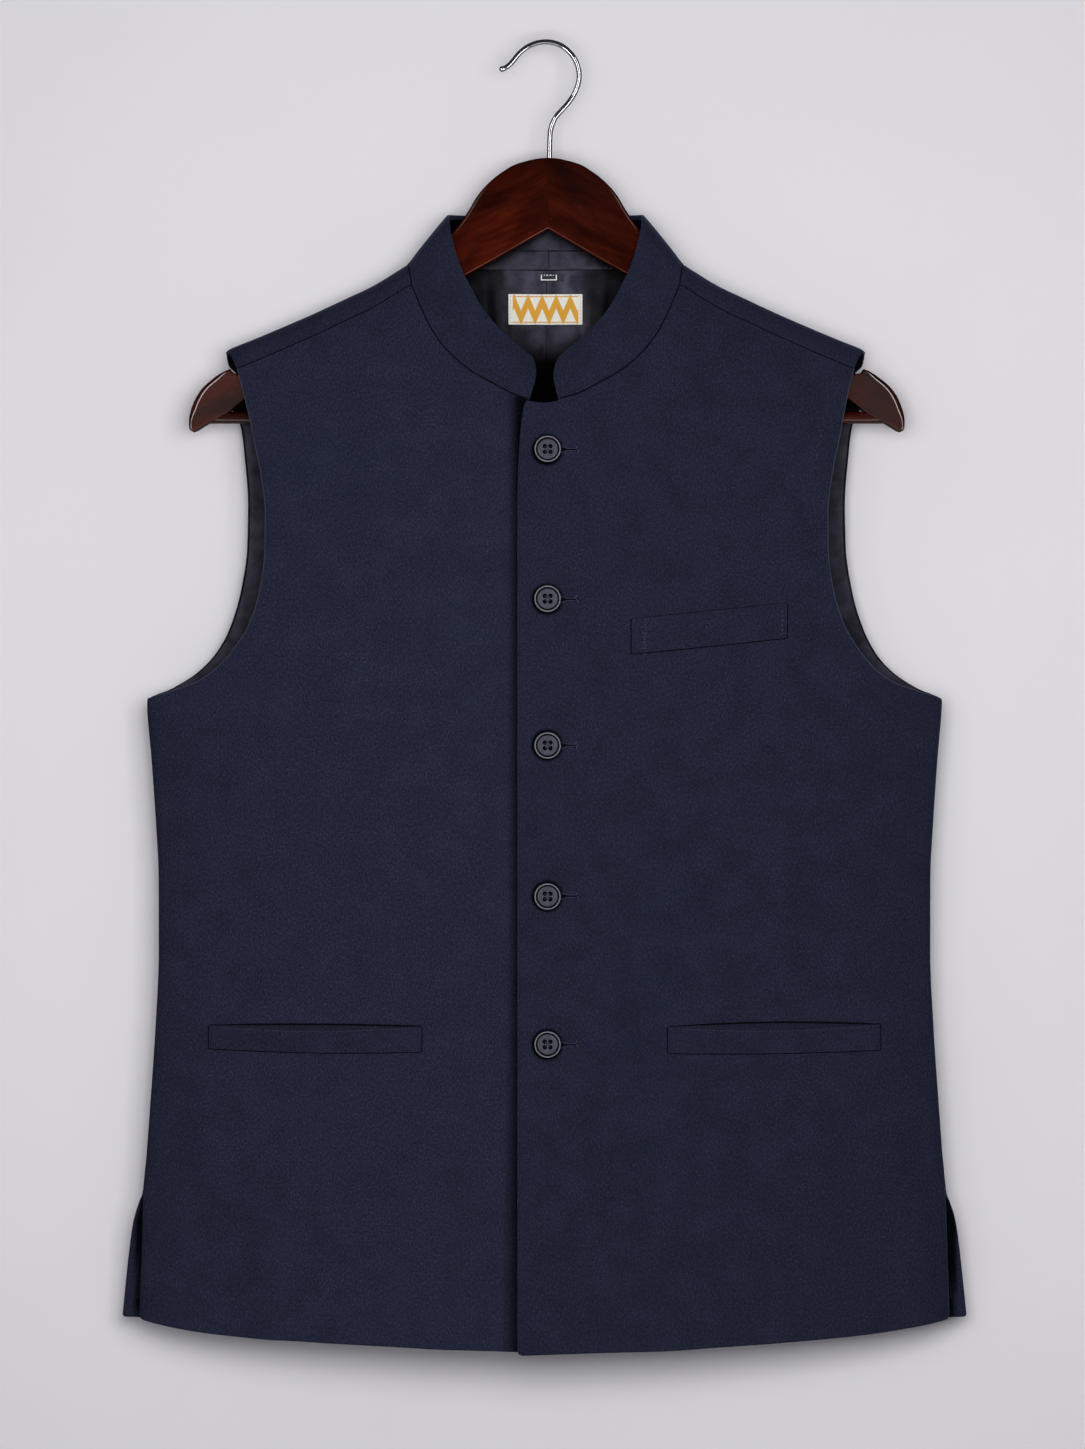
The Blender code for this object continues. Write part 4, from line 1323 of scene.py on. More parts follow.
def weltPoint(welt, across, up, raised=0.0):
    (x1, z1), (x2, z2), (x3, z3), (x4, z4) = welt["corners"]
    topX, topZ = mix(x1, x2, across), mix(z1, z2, across) - weltSag(welt, across)
    lowX, lowZ = mix(x4, x3, across), mix(z4, z3, across) - welt["bow"] * math.sin(math.pi * across)
    return frontOuter(mix(lowX, topX, up), mix(lowZ, topZ, up), welt["over"], welt["raise"] + raised)


def makeWelt(key):
    welt, (mapX, mapZ) = welts[key], welts["mapStart"]
    (x1, z1), (x2, _), _, (_, z4) = welt["corners"]
    acrosses = steps(56)
    rows, weave = [], []
    for up in welts["ups"]:
        swell = welts["pillow"] * math.sin(math.pi * up)
        pillows = [swell * (1.0 - (2.0 * across - 1.0) ** 8) for across in acrosses]
        rows.append([weltPoint(welt, across, up, pillow)[0] for across, pillow in zip(acrosses, pillows)])
        weave.append([(mapX + across * (x2 - x1), mapZ + up * (z1 - z4)) for across in acrosses])
    piece = sewnPanel(key + "_welt_cloth", rows, weave, welt["thick"], 1, [cloth], None, 0.3)
    settle(piece, "cloth", welt["node"])


def mouthPoint(welt, across, below=0.0, raised=0.12):
    # the front's cut edge, which bows up over a welt; below runs down to the welt's own edge
    (x1, z1), (x2, z2) = welt["corners"][:2]
    high, low = welts["mouthLap"]
    rise = welt["rise"] * math.sin(math.pi * across) + high
    z = mix(z1, z2, across) + mix(rise, -weltSag(welt, across) - low, below)
    return frontOuter(mix(x1, x2, across), z, welt["over"], raised)


def mouthWidth(share):
    wide = mix(welts["mouthEnd"], welts["mouthRadius"], smooth(share * 4.0))
    return wide * (1.0 - 0.35 * smooth(share * 8.0 - 7.0))


def breastTacks():
    # short rows of pale stitches at both ends of the breast welt
    tacks = []
    amount, alongRate, acrossRate = welts["tackWander"]
    for across, count in welts["tacks"]:
        for i in range(count):
            wander = amount * noise.noise(Vector((i * alongRate, across * acrossRate, 0.0)))
            up = mix(*welts["tackSpan"], i / count)
            point, outward = weltPoint(welts["breast"], across + wander, up, welts["pickRaise"])
            tacks.append((point, Vector((0.5, 0, 1)), outward))
    return tacks


def weltSeams():
    routes, faint, mouths, edges = [], [], [], []
    out, aside, down = welts["seamShift"]
    (firstPick, lastPick, count), raised = welts["pickGrid"], welts["pickRaise"]
    lower, amount, rate = welts["pickShift"]
    for key in ("breast", "left", "right"):
        welt = welts[key]
        for start, end in (((0, 1), (0, 0)), ((0, 0), (1, 0)), ((1, 0), (1, 1))):
            line = []
            for share in steps(40):
                across, up = mix(start[0], end[0], share), mix(start[1], end[1], share)
                point, outward = weltPoint(welt, across, up)
                away = {0: -aside, 1: aside}.get(across, 0.0)
                drop = -down if up == 0 and away == 0 else 0
                line.append(point + outward * out + Vector((away, 0, drop)))
            routes.append(line)
        line = [mouthPoint(welt, across)[0] for across in steps(60)]
        (faint if key == "breast" else mouths).append(line)
        for i in range(firstPick, lastPick) if key != "breast" else ():
            point, outward = weltPoint(welt, i / count, 1.0, raised)
            ahead = weltPoint(welt, (i + 1) / count, 1.0, raised)[0]
            wander = amount * noise.noise(Vector((i * rate, 0.0, len(mouths) * 5.0)))
            edges.append((point + Vector((0, 0, lower + wander)), ahead - point, outward))
    # the dark cords are painted shadow: round the welts, along the breast welt's top and in the pocket
    # mouths
    settle(tube("welt_seams", routes, welts["seamRadius"], darkThreadAndShadow, sides=6), "cloth")
    settle(tube("welt_top_seam", faint, welts["faintRadius"], darkThreadAndShadow, sides=6), "cloth")
    settle(tube("pocket_mouths", mouths, mouthWidth, darkThreadAndShadow, sides=8), "cloth")
    settle(stitches("welt_edge_picks", edges, *welts["pickSize"], purlThread), "cloth")
    settle(stitches("breast_tacks", breastTacks(), *welts["tackSize"], fleckThread), "cloth")


def makeLip(key):
    # a thin sheet of cloth with painted shade, between a pocket's mouth and the edge of its welt
    lip, welt = welts["lip"], welts[key]
    downs, acrosses, raised = lip["downs"], steps(48, *lip["ends"]), lip["raise"]
    start, (wide, tall) = lip["mapStart"], lip["mapSize"]
    rows = [[mouthPoint(welt, across, 1.0 - down, raised)[0] for across in acrosses] for down in downs]
    weave = [[(start + wide * across, tall * down) for across in acrosses] for down in downs]
    shade = [[mix(*lip["tones"], down)] * len(acrosses) for down in downs]
    fabric, bulge = [shadedCloth], lip["bulge"]
    piece = sewnPanel(key + "_lip_cloth", rows, weave, lip["thick"], 1, fabric, None, bulge, shade)
    settle(piece, "cloth", welt["node"])


for key in ("breast", "left", "right"):
    makeWelt(key)
for key in ("left", "right"):
    makeLip(key)
weltSeams()
print("pocket welts are on")


# Seams and pick stitches

seamLook = {
    "cord": 0.36,
    "collarShare": 0.022,  # of the collar's height, where it meets the body
    "shoulder": (86.2, 199.0),
    "sink": 0.08,
    "backSink": 0.3,
    "pickTop": -427.0,  # the armhole's picks start above this height
    "pickInset": 11.5,
    "pickWander": 0.5,
    "pickSpacing": 6.4,
    "pickLength": 1.7,
    "pickRadius": 0.26,
    "tipPicks": (188.0, 2.7, 5),  # first, spacing and number at the tip of the shoulder
    "tipOver": 4.6,
    # radii and shift of the cord of painted highlight along the fronts' turned edges
    "rim": (0.26, 0.52),
    "rimShift": (-0.5, 0.18),
}


def bodyOutward(point):
    # the way out from the body at a place on its inner face round the neck
    x, y, z = point
    middle = ridge(x) - body["rollRadius"]
    if z < middle:
        return Vector((0.0, -1.0 if y < 0 else 1.0, 0.0))
    slope = (ridge(abs(x) + 1.0) - ridge(abs(x) - 1.0)) / 2.0
    side = 1.0 if x > 0 else -1.0
    return Vector((-slope * side * (z - middle), y, z - middle)).normalized()


def collarValley():
    # the line where the outside of the collar meets the outside of the body
    low, raised = (collarGrid([seamLook["collarShare"]], lift)[0][0] for lift in (0.0, 1.0))
    line = []
    for point, out in zip(low[1:-1], raised[1:-1]):
        collarOut, bodyOut = out - point, bodyOutward(point)
        both = collarOut + bodyOut
        place = point + both * (body["clothThick"] / (1.0 + collarOut.dot(bodyOut)))
        if bodyOut.y < -0.9:
            place.y = min(place.y, frontOuter(place.x, place.z, place.x > 0)[0].y)
        line.append(place)
    return line


def makeSeams():
    routes = []
    for over in (True, False):  # shoulder seams, a little forward of the ridge
        line = []
        for x in steps(60, *seamLook["shoulder"]):
            z = ridge(x) - front["seamDrop"]
            line.append(frontOuter(x if over else -x, z, over, -seamLook["sink"])[0])
        routes.append(line)
    off = Vector((0.0, body["clothThick"] - seamLook["backSink"], 0.0))
    routes.append([backPoint(0.0, row[0][1]) + off for row in backHalf if row[0][0] < 0.1])
    # the seam cords are near black: painted shadow along the seams
    settle(tube("collar_seam", [collarValley()], seamLook["cord"], darkThreadAndShadow, sides=8), "cloth")
    settle(tube("panel_seams", routes, seamLook["cord"], darkThreadAndShadow, sides=6), "cloth")


def armholePicks(over):
    side, flat = (1, leftFlat) if over else (-1, rightFlat)
    ends = [row[-1] for row in flat]
    edge = [Vector((x, 0, z)) for x, z in ends if z > seamLook["pickTop"]]
    found, walked = [], 0.0
    for before, after in zip(edge, edge[1:]):
        run = after - before
        walked += run.length
        if walked < seamLook["pickSpacing"]:
            continue
        walked = 0.0
        inward = Vector((run.z, 0, -run.x)).normalized()
        if inward.x > 0:
            inward = -inward
        spot = before + inward * seamLook["pickInset"]
        spot += inward * noise.noise(spot * 0.11) * seamLook["pickWander"]
        point, outward = frontOuter(spot.x * side, spot.z, over)
        found.append((point, Vector((run.x * side, 0, run.z)), outward))
    return found


def seamPicks(side):
    # a few picks above the shoulder seam, close to the tip of the shoulder
    found, over = [], seamLook["tipOver"]
    first, step, count = seamLook["tipPicks"]
    for i in range(count):
        x = (first + i * step) * side
        point, ahead, up = rollPoint(x, over), rollPoint(x + 1.0, over), rollPoint(x, over - 1.0)
        outward = (ahead - point).cross(up - point).normalized()
        found.append((point + outward * body["clothThick"], ahead - point, outward))
    return found


def makeRims():
    # a lighter cord along the turned edge at the side and the armhole of each front: painted highlight
    routes = []
    sink, aside = seamLook["rimShift"]
    for side, flat in ((1, leftFlat), (-1, rightFlat)):
        ends = [row[-1] for row in flat[2:]]
        off = Vector((side * aside, 0, 0))
        routes.append([frontOuter(x * side, z, side > 0, sink)[0] + off for x, z in ends])

    def radius(share):
        return mix(*seamLook["rim"], smooth(share * 3.0 - 1.0))

    settle(tube("front_rim_highlights", routes, radius, rimHighlightThread, sides=8), "cloth")


makeSeams()
makeRims()
length, radius = seamLook["pickLength"], seamLook["pickRadius"]
picks = armholePicks(True) + armholePicks(False)
settle(stitches("armhole_picks", picks, length, radius, purlThread), "cloth")
settle(stitches("shoulder_picks", seamPicks(1) + seamPicks(-1), 1.9, 0.2, blueThread), "cloth")
print("seams are stitched")


# Buttons and buttonholes

slate = {
    "dark": (0.050, 0.052, 0.074),
    "light": (0.064, 0.066, 0.092),
    # painted highlight on the rim
    "rim": (0.18, 0.185, 0.215),
    # painted shade in the groove, the holes and on the side
    "recessShade": (0.0022, 0.0024, 0.0032),
    "faceEdge": 6.45,  # radii where the groove and the rim begin, and where the rim ends
    "rimEdge": 7.55,
    "rimEnd": 8.25,
}


def makeSlate():
    material, tree, shader = newMaterial("slateResin", slate["dark"], 0.34, {"Specular IOR Level": 0.15})
    swirl = noiseOf(tree, objectPlace(tree), Scale=170.0, Detail=2.0, Distortion=0.6)
    base = colourMix(tree, rangeOf(tree, swirl, 0.35, 0.65), slate["dark"], slate["light"])
    flat = faceOn(tree)
    radius = node(tree, "VectorMath", {0: flat}, operation="LENGTH").outputs["Value"]
    edge, rim, end = slate["faceEdge"], slate["rimEdge"], slate["rimEnd"]
    # painted highlight on the rim, then painted shade in the groove, on the outer side and in the holes
    outer = rangeOf(tree, radius, end, end + 0.25, 1.0, 0.05)
    inRim = times(tree, rangeOf(tree, radius, rim, rim + 0.15), outer)
    base = colourMix(tree, inRim, base, slate["rim"])
    outer = below(tree, radius, rim - 0.1, rim + 0.1)
    inGroove = times(tree, rangeOf(tree, radius, edge - 0.12, edge + 0.05), outer)
    side = rangeOf(tree, radius, end + 0.05, end + 0.25, 0.0, 0.92)
    base = colourMix(tree, calc(tree, "MAXIMUM", inGroove, side), base, slate["recessShade"])
    folded = node(tree, "VectorMath", {0: flat}, operation="ABSOLUTE").outputs[0]
    reach, hole = button["holeReach"], button["holeRadius"]
    drilled = below(tree, awayFrom(tree, folded, (reach, 0.0, reach)), hole, hole + 0.08)
    base = colourMix(tree, drilled, base, slate["recessShade"])
    dress(tree, shader, base, (0.32, 0.38), [(None, 0.03, 0.0001)], 4.0)
    return material


slateResin = makeSlate()


def turnedDisc(section, middle, segments):
    disc = bmesh.new()
    rings = []
    for radius, height in section:
        spots = [(radius * math.cos(angle), -height, radius * math.sin(angle)) for angle in turns(segments)]
        rings.append([disc.verts.new(spot) for spot in spots])
    for low, high in zip(rings, rings[1:]):
        for k in range(segments):
            after = (k + 1) % segments
            disc.faces.new((low[k], low[after], high[after], high[k]))
    under, top = disc.verts.new((0, 0, 0)), disc.verts.new((0, -middle, 0))
    for k in range(segments):
        after = (k + 1) % segments
        disc.faces.new((under, rings[0][after], rings[0][k]))
        disc.faces.new((top, rings[-1][k], rings[-1][after]))
    return disc


def addSolid(name, solid):
    bmesh.ops.recalc_face_normals(solid, faces=solid.faces)
    bmesh.ops.scale(solid, vec=(mm, mm, mm), verts=solid.verts)
    mesh = bpy.data.meshes.new(name)
    solid.to_mesh(mesh)
    solid.free()
    return addObject(name, mesh)


def drilledMesh():
    disc = addSolid("disc", turnedDisc(button["section"], button["middle"], button["segments"]))
    pins = bmesh.new()
    hole, reach = button["holeRadius"], button["holeReach"]
    for side in (-1, 1):
        for high in (-1, 1):
            made = bmesh.ops.create_cone(
                pins, cap_ends=True, segments=24, radius1=hole, radius2=hole, depth=12.0
            )
            for vertex in made["verts"]:
                x, y, z = vertex.co
                vertex.co = (x + side * reach, z, high * reach - y)
    drill = addSolid("drill", pins)
    cut = disc.modifiers.new("holes", "BOOLEAN")
    cut.operation = "DIFFERENCE"
    cut.object = drill
    bpy.context.view_layer.update()
    mesh = bpy.data.meshes.new_from_object(disc.evaluated_get(bpy.context.evaluated_depsgraph_get()))
    mesh.name = "buttonMesh"
    for item in (disc, drill):
        bpy.data.objects.remove(item)
    mesh.materials.clear()
    mesh.materials.append(slateResin)
    mesh.shade_smooth()
    mesh.set_sharp_from_angle(angle=math.radians(button["sharpAngle"]))
    return mesh


def buttonThread(turn):
    routes = []
    for first, second, rise in (((-1, 1), (1, -1), 2.30), ((1, 1), (-1, -1), 2.50)):
        climb = [(0.0, 0.4), (0.03, 1.8), (0.1, 2.35), (0.25, rise - 0.1)]
        climb += [(0.5, rise)] + [(1.0 - share, height) for share, height in reversed(climb)]
        run = Vector((second[0] - first[0], 0, second[1] - first[1])).normalized()
        for shift in (-button["threadShift"], button["threadShift"]):
            off = run.cross(Vector((0, 1, 0))) * shift
            line = []
            for share, height in climb:
                reach = button["holeReach"] + button["threadSpread"] * abs(share - 0.5)
                x, z = mix(first[0], second[0], share) * reach, mix(first[1], second[1], share) * reach
                line.append(turn @ (Vector((x, -height, z)) + off))
            routes.append(line)
    routes.append([turn @ Vector((0, y, 0)) for y in (button["shank"], -button["shank"])])
    return routes


def makeButtons():
    mesh = drilledMesh()
    for number, height in enumerate(button["heights"], 1):
        name = "button_" + str(number)
        place, outward = frontOuter(button["x"], height, True, button["seat"])
        tilt = Vector((0, -1, 0)).rotation_difference(outward)
        piece = addObject("slate_" + name, mesh)
        piece.rotation_mode = "QUATERNION"
        piece.rotation_quaternion = tilt
        piece.location = place * mm
        settle(piece, "button", name)
        turn = tilt.to_matrix().to_4x4()
        turn.translation = place
        threads = tube("thread_" + name, buttonThread(turn), button["threadRadius"], slateThread, sides=6)
        settle(threads, "button")


buttonhole = {
    "start": 7.4,
    "end": 19.7,
    "leans": (0.25, -0.1, 0.15, 0.3, -0.15),
    "drop": 0.25,
    "purlOff": 0.30,
    # half the height beside the button and past it, and where that changes
    "opening": (1.65, 0.42),
    "openingFall": (-0.2, 4.4),
    "shorten": 0.4,  # the second of each three is shorter by this, the third by twice this
    "wave": 2.4,
    "slitRaise": 0.14,
    "purlRaise": -0.02,
    "tacks": (-0.35, 0.1, 0.5),  # places of the threads across the end
    "tackOff": 0.3,
    "tackRaise": 0.12,
    "tackBow": 0.18,  # how far their middles stand out
    "flecks": ((0.7, 1.7), (0.95, -1.5), (0.1, 0.9), (0.5, -0.4)),
    "fleckRaise": 0.3,
    "radii": (0.26, 0.22),  # of the purled edges and of the threads across the end
    "fleckSize": (1.0, 0.22),
    "flatten": 0.3,
}


def holeOpening(x):
    # half the height of a buttonhole; it gapes beside the button
    off = x - button["x"] - button["radius"]
    return mix(*buttonhole["opening"], past(off, buttonhole["openingFall"]))


def makeButtonholes():
    slits, purls, tacks, flecks = [], [], [], []
    look, (purlRadius, tackRadius) = buttonhole, buttonhole["radii"]
    start, end, raised = look["start"], look["end"], look["tackRaise"]
    for number, height in enumerate(button["heights"]):
        length = end - look["shorten"] * (number % 3)
        line, above, under = [], [], []
        for share in steps(36):
            x = mix(start, length, share)
            z = height + look["leans"][number] * math.sin(share * look["wave"]) - look["drop"]
            off = holeOpening(x) + look["purlOff"]
            line.append(frontOuter(x, z, True, look["slitRaise"])[0])
            above.append(frontOuter(x, z + off, True, look["purlRaise"])[0])
            under.append(frontOuter(x, z - off, True, look["purlRaise"])[0])
        slits.append(line)
        purls += [above, under]
        for shift in look["tacks"]:
            x = length + look["tackOff"]
            top, outward = frontOuter(x + shift, height + 1.5 + shift, True, raised)
            low, _ = frontOuter(x + shift * 0.6, height - 1.6 + shift * 0.7, True, raised)
            tacks.append([top, (top + low) / 2 + outward * look["tackBow"], low])
        for dx, dz in look["flecks"]:
            point, outward = frontOuter(length + dx, height + dz, True, look["fleckRaise"])
            flecks.append((point, Vector((0.3, 0, 1)), outward))

    def half(share):
        return holeOpening(mix(start, end, share))

    # the slits are dark cords: painted shadow in each buttonhole's opening
    settle(tube("buttonhole_slits", slits, half, darkThreadAndShadow, flatten=look["flatten"]), "cloth")
    settle(tube("buttonhole_edges", purls, purlRadius, purlThread, sides=6), "cloth")
    settle(tube("buttonhole_tacks", tacks, tackRadius, darkThreadAndShadow, sides=6), "cloth")
    settle(stitches("buttonhole_flecks", flecks, *look["fleckSize"], fleckThread), "cloth")


makeButtons()
makeButtonholes()
print("buttons are sewn on")


# Labels on the lining

labels = {
    "main": {"node": "main_label", "corners": (-24.1, 24.1, -180.3, -161.0)},
    "size": {"node": "size_label", "corners": (-3.4, 11.8, -152.6, -148.4)},
    "cream": (0.90, 0.88, 0.80),
    "creamDark": (0.78, 0.76, 0.68),
    "gold": (0.82, 0.42, 0.040),
    "goldDark": (0.62, 0.28, 0.016),
    "white": (0.72, 0.73, 0.76),
    "tab": (0.006, 0.007, 0.012),
    "tabLight": (0.016, 0.019, 0.030),
    "grid": (42, 18),
    "thick": 0.4,
    "stitchEdge": 1.1,
    "stitchStep": 2.3,
    "stitchRise": 2.2,
    "stitchLift": 0.75,
    "stitchSize": (1.5, 0.16),
    "lift": 0.25,
    "ripple": (0.31, 0.12),  # rates across and along
    "bulge": 0.12,
}


def makeLabelWeave():
    # cream satin with a plain zigzag in gold between two fine lines
    material, tree, shader = newMaterial("labelWeave", labels["cream"], 0.6, {
        "Specular IOR Level": 0.4, "Sheen Weight": 0.15, "Sheen Roughness": 0.4,
    })
    flat = weaveMap(tree)
    across, up = partsOf(tree, flat)[:2]
    ramp = calc(tree, "PINGPONG", calc(tree, "ADD", across, 200.0), 4.6)
    target = calc(tree, "SUBTRACT", times(tree, ramp, 2.3), 5.29)
    zigzag = below(tree, offFrom(tree, up, target), 4.3, 4.7)
    bars = below(tree, offFrom(tree, offFrom(tree, up), 8.25), 0.28, 0.38)
    inside = below(tree, offFrom(tree, across), 21.3, 21.6)
    gold = times(tree, calc(tree, "MAXIMUM", zigzag, bars), inside)
    waves = {"Vector": flat, "Scale": 0.85, "Distortion": 0.6, "Detail": 1.0}
    thread = node(tree, "TexWave", waves, bands_direction="Y").outputs["Fac"]
    mottle = noiseOf(tree, flat, True, Scale=0.5, Detail=4.0)
    pale = colourMix(tree, mottle, labels["creamDark"], labels["cream"])
    yarn = colourMix(tree, thread, labels["goldDark"], labels["gold"])
    raised = calc(tree, "ADD", times(tree, gold, 1.2), times(tree, thread, 0.5))
    dress(tree, shader, colourMix(tree, gold, pale, yarn), (0.5, 0.66), [(raised, 0.5, 0.0003)])
    return material


def makeTabWeave():
    # navy tab with a white frame that is open at the top, and three plain bars in it
    material, tree, shader = newMaterial("tabWeave", labels["tab"], 0.6, {"Specular IOR Level": 0.35})
    flat = weaveMap(tree)
    across, up = partsOf(tree, flat)[:2]
    sideways = offFrom(tree, across, 5.6)
    sides = times(tree, below(tree, offFrom(tree, sideways, 4.9), 0.3, 0.4), rangeOf(tree, up, 0.7, 0.8))
    lowBar = below(tree, offFrom(tree, up, 1.0), 0.3, 0.4)
    lowBar = times(tree, lowBar, below(tree, sideways, 5.1, 5.2))
    beat = calc(tree, "PINGPONG", calc(tree, "ADD", across, 199.0), 1.1)
    pips = times(tree, rangeOf(tree, beat, 0.45, 0.6), below(tree, sideways, 3.2, 3.3))
    pips = times(tree, pips, rangeOf(tree, up, 3.6, 3.7))
    white = calc(tree, "MAXIMUM", calc(tree, "MAXIMUM", sides, lowBar), pips)
    mottle = noiseOf(tree, flat, True, Scale=1.4, Detail=2.0)
    plain = colourMix(tree, mottle, labels["tab"], labels["tabLight"])
    dress(tree, shader, colourMix(tree, white, plain, labels["white"]), (0.55, 0.7), [(white, 0.4, 0.0003)])
    return material


def onLining(x, z, forward=0.0):
    return liningPoint(x, ridge(x) + behind(x, z)) - Vector((0, liningLook["thick"] + forward, 0))


def makeLabel(key, material, slot, waves, mapFrom):
    # mapFrom is the share of the label's size where its map starts
    left, right, low, high = labels[key]["corners"]
    (wide, tall), (acrossRate, alongRate) = labels["grid"], labels["ripple"]
    mapX, mapZ = mix(left, right, mapFrom), mix(low, high, mapFrom)
    rows, weave = [], []
    for z in steps(tall, low, high):
        xs = steps(wide, left, right)
        ripples = [waves * (1.0 + math.sin(x * acrossRate + z * alongRate)) * 0.5 for x in xs]
        rows.append([onLining(x, z, labels["lift"] + ripple) for x, ripple in zip(xs, ripples)])
        weave.append([(x - mapX, z - mapZ) for x in xs])
    thick, bulge = labels["thick"], labels["bulge"]
    piece = sewnPanel(key + "_label_weave", rows, weave, thick, 1, [material], None, bulge)
    settle(piece, slot, labels[key]["node"])


def labelStitches():
    left, right, low, high = labels["main"]["corners"]
    edge, lift, forward = labels["stitchEdge"], labels["stitchLift"], Vector((0, -1, 0))
    found = []
    x = left + 2.0
    while x < right - 1.0:
        for z in (low + edge, high - edge):
            found.append((onLining(x, z, lift), Vector((1, 0, 0)), forward))
        x += labels["stitchStep"]
    z = low + labels["stitchRise"]
    while z < high - 1.5:
        for x in (left + edge, right - edge):
            found.append((onLining(x, z, lift), Vector((0, 0, 1)), forward))
        z += labels["stitchRise"]
    return found


makeLabel("main", makeLabelWeave(), "label", 0.35, 0.5)
makeLabel("size", makeTabWeave(), "size_label", 0.1, 0.0)
settle(stitches("label_stitches", labelStitches(), *labels["stitchSize"], paleThread), "label")


# Seams of the lining at the neck

liningSeam = {
    "bandRadius": (0.34, 0.14, 61.0),  # middle, how much it swells and how fast
    "radius": 0.24,
    "halfWidth": 70.0,  # the part behind the neck is this wide to each side
    "back": 4.0,  # and starts this far back
    "aside": 0.6,
    "dashStep": 2.6,
    "dashShift": (0.35, 0.5),  # inwards and up
    "dashSize": (1.5, 0.22),
    "lower": (-181.0, -330.0),
    "upper": (-146.5, -160.0),
    "wave": (0.5, 0.9, -186.0, 8.0),  # how much, how fast, and the height and length of it
}


def bandLine(share):
    return collarGrid([share], -collar["liningThick"] - liningLook["gap"])[0][0]


def bandWidth(share):
    middle, amount, rate = liningSeam["bandRadius"]
    return middle + amount * math.sin(share * rate)


def neckDashes(line):
    found, (inset, rise) = [], liningSeam["dashShift"]
    for before, after in zip(line, line[1:]):
        count = max(1, round((after - before).length / liningSeam["dashStep"]))
        for i in range(count):
            spot = before.lerp(after, (i + 0.5) / count)
            inwards = Vector((-spot.x, -spot.y * 3, 0)).normalized()
            found.append((spot + inwards * inset + Vector((0, 0, rise)), after - before, inwards))
    return found


def liningSeams():
    seam, aside = collar["liningSeam"], liningSeam["aside"]
    wide, back = liningSeam["halfWidth"], liningSeam["back"]
    band, foot = (
        [point for point in bandLine(share) if abs(point.x) < wide and point.y > back]
        for share in (seam, 0.0)
    )
    middle = []  # centre back of the band, then of the lining below the label and above it
    for share in steps(14, 0.02, seam):
        row = bandLine(share)
        middle.append(row[len(row) // 2] + Vector((aside, 0, 0)))
    lower, (amount, rate, height, length) = [], liningSeam["wave"]
    for i, z in enumerate(steps(59, *liningSeam["lower"])):
        wave = amount * math.sin(i * rate) * math.exp(-((z - height) / length) ** 2)
        lower.append(onLining(aside + wave, z))
    upper = [onLining(aside, z) for z in steps(9, *liningSeam["upper"])]
    # the dark cords are painted shadow along the lining's seams
    settle(tube("band_seam", [band], bandWidth, darkThreadAndShadow, sides=6), "lining")
    cords = [middle, lower, upper]
    settle(tube("lining_seams", cords, liningSeam["radius"], darkThreadAndShadow, sides=6), "lining")
    settle(stitches("neck_stitches", neckDashes(foot), *liningSeam["dashSize"], blueThread), "lining")


liningSeams()
print("labels and lining seams are in")


# The hanger

hanger = {
    "thick": 12.0,
    "barTall": 3.9,  # half the height of the bar, and how far it is lifted
    "barLift": 0.5,
    "round": 2.2,
    "lowRound": 1.1,  # along the lower edge
    "tipRound": 3.4,
    "roundSteps": 5,
    "centre": 0.8,
    "mitreGap": 0.004,
    "apex": -74.4,
    "notch": -120.8,
    "notchShift": 0.9,  # the glued joint sits a little to the side of the middle
    "top": [
        (18.9, -78.0), (29.8, -84.0), (38.4, -91.0), (45.2, -98.9), (51.8, -109.8),
        (59.0, -120.0), (72.0, -133.6), (88.8, -147.4), (112.0, -159.9), (150.0, -178.3),
        (180.0, -192.2), (187.4, -203.5), (193.0, -211.2), (198.4, -214.3), (202.8, -214.5),
        (204.6, -212.9), (206.4, -211.9), (214.0, -215.8), (223.0, -223.2), (228.6, -231.6),
        (231.9, -241.4), (232.2, -249.0),
    ],
    "tip": [(231.6, -251.2), (229.6, -252.2), (227.2, -251.4)],
    "bottom": [
        (220.1, -246.9), (207.4, -240.2), (194.7, -230.6), (160.0, -210.2),
        (112.0, -182.6), (51.9, -150.4),
    ],
    "grainLean": 27.0,  # slope of the grain along each arm
    "barRadius": 3.5,
    "barHeight": -243.4,
    "barEnd": 213.5,
    "barSlant": 0.53,
    "barGap": 0.7,
    "barLap": 1.4,
    "barGrid": (28, 60),  # sides and steps
    "barSharp": 50,
    "barMap": 900.0,  # shifts of the grain, so that no two parts match
    "mapShift": (300.0, 90.0, 0.7),  # along and across on one arm, and across for each mm of depth
    "notchFade": 60.0,
    "before": (-18.9, -78.0),  # a place on the other arm, which sets the slope at the apex
}

wood = {
    "dark": (0.0150, 0.0018, 0.0009),
    "red": (0.0400, 0.0038, 0.0013),
    "warm": (0.0900, 0.0105, 0.0028),
    "speck": (0.34, 0.17, 0.11),
    "glow": 0.75,
    # painted shade, darker at the top of the hanger
    "topShade": 0.62,  # the top of the hanger is the darkest
    "paler": 1.0,  # how bright the wood of each arm is
    "darker": 0.80,
    "coat": 0.30,
    "tipCoat": 1.0,
    "edge": (0.26, 0.10, 0.065),  # painted highlight along the lower edge
    "edgeHighlight": 0.75,
}


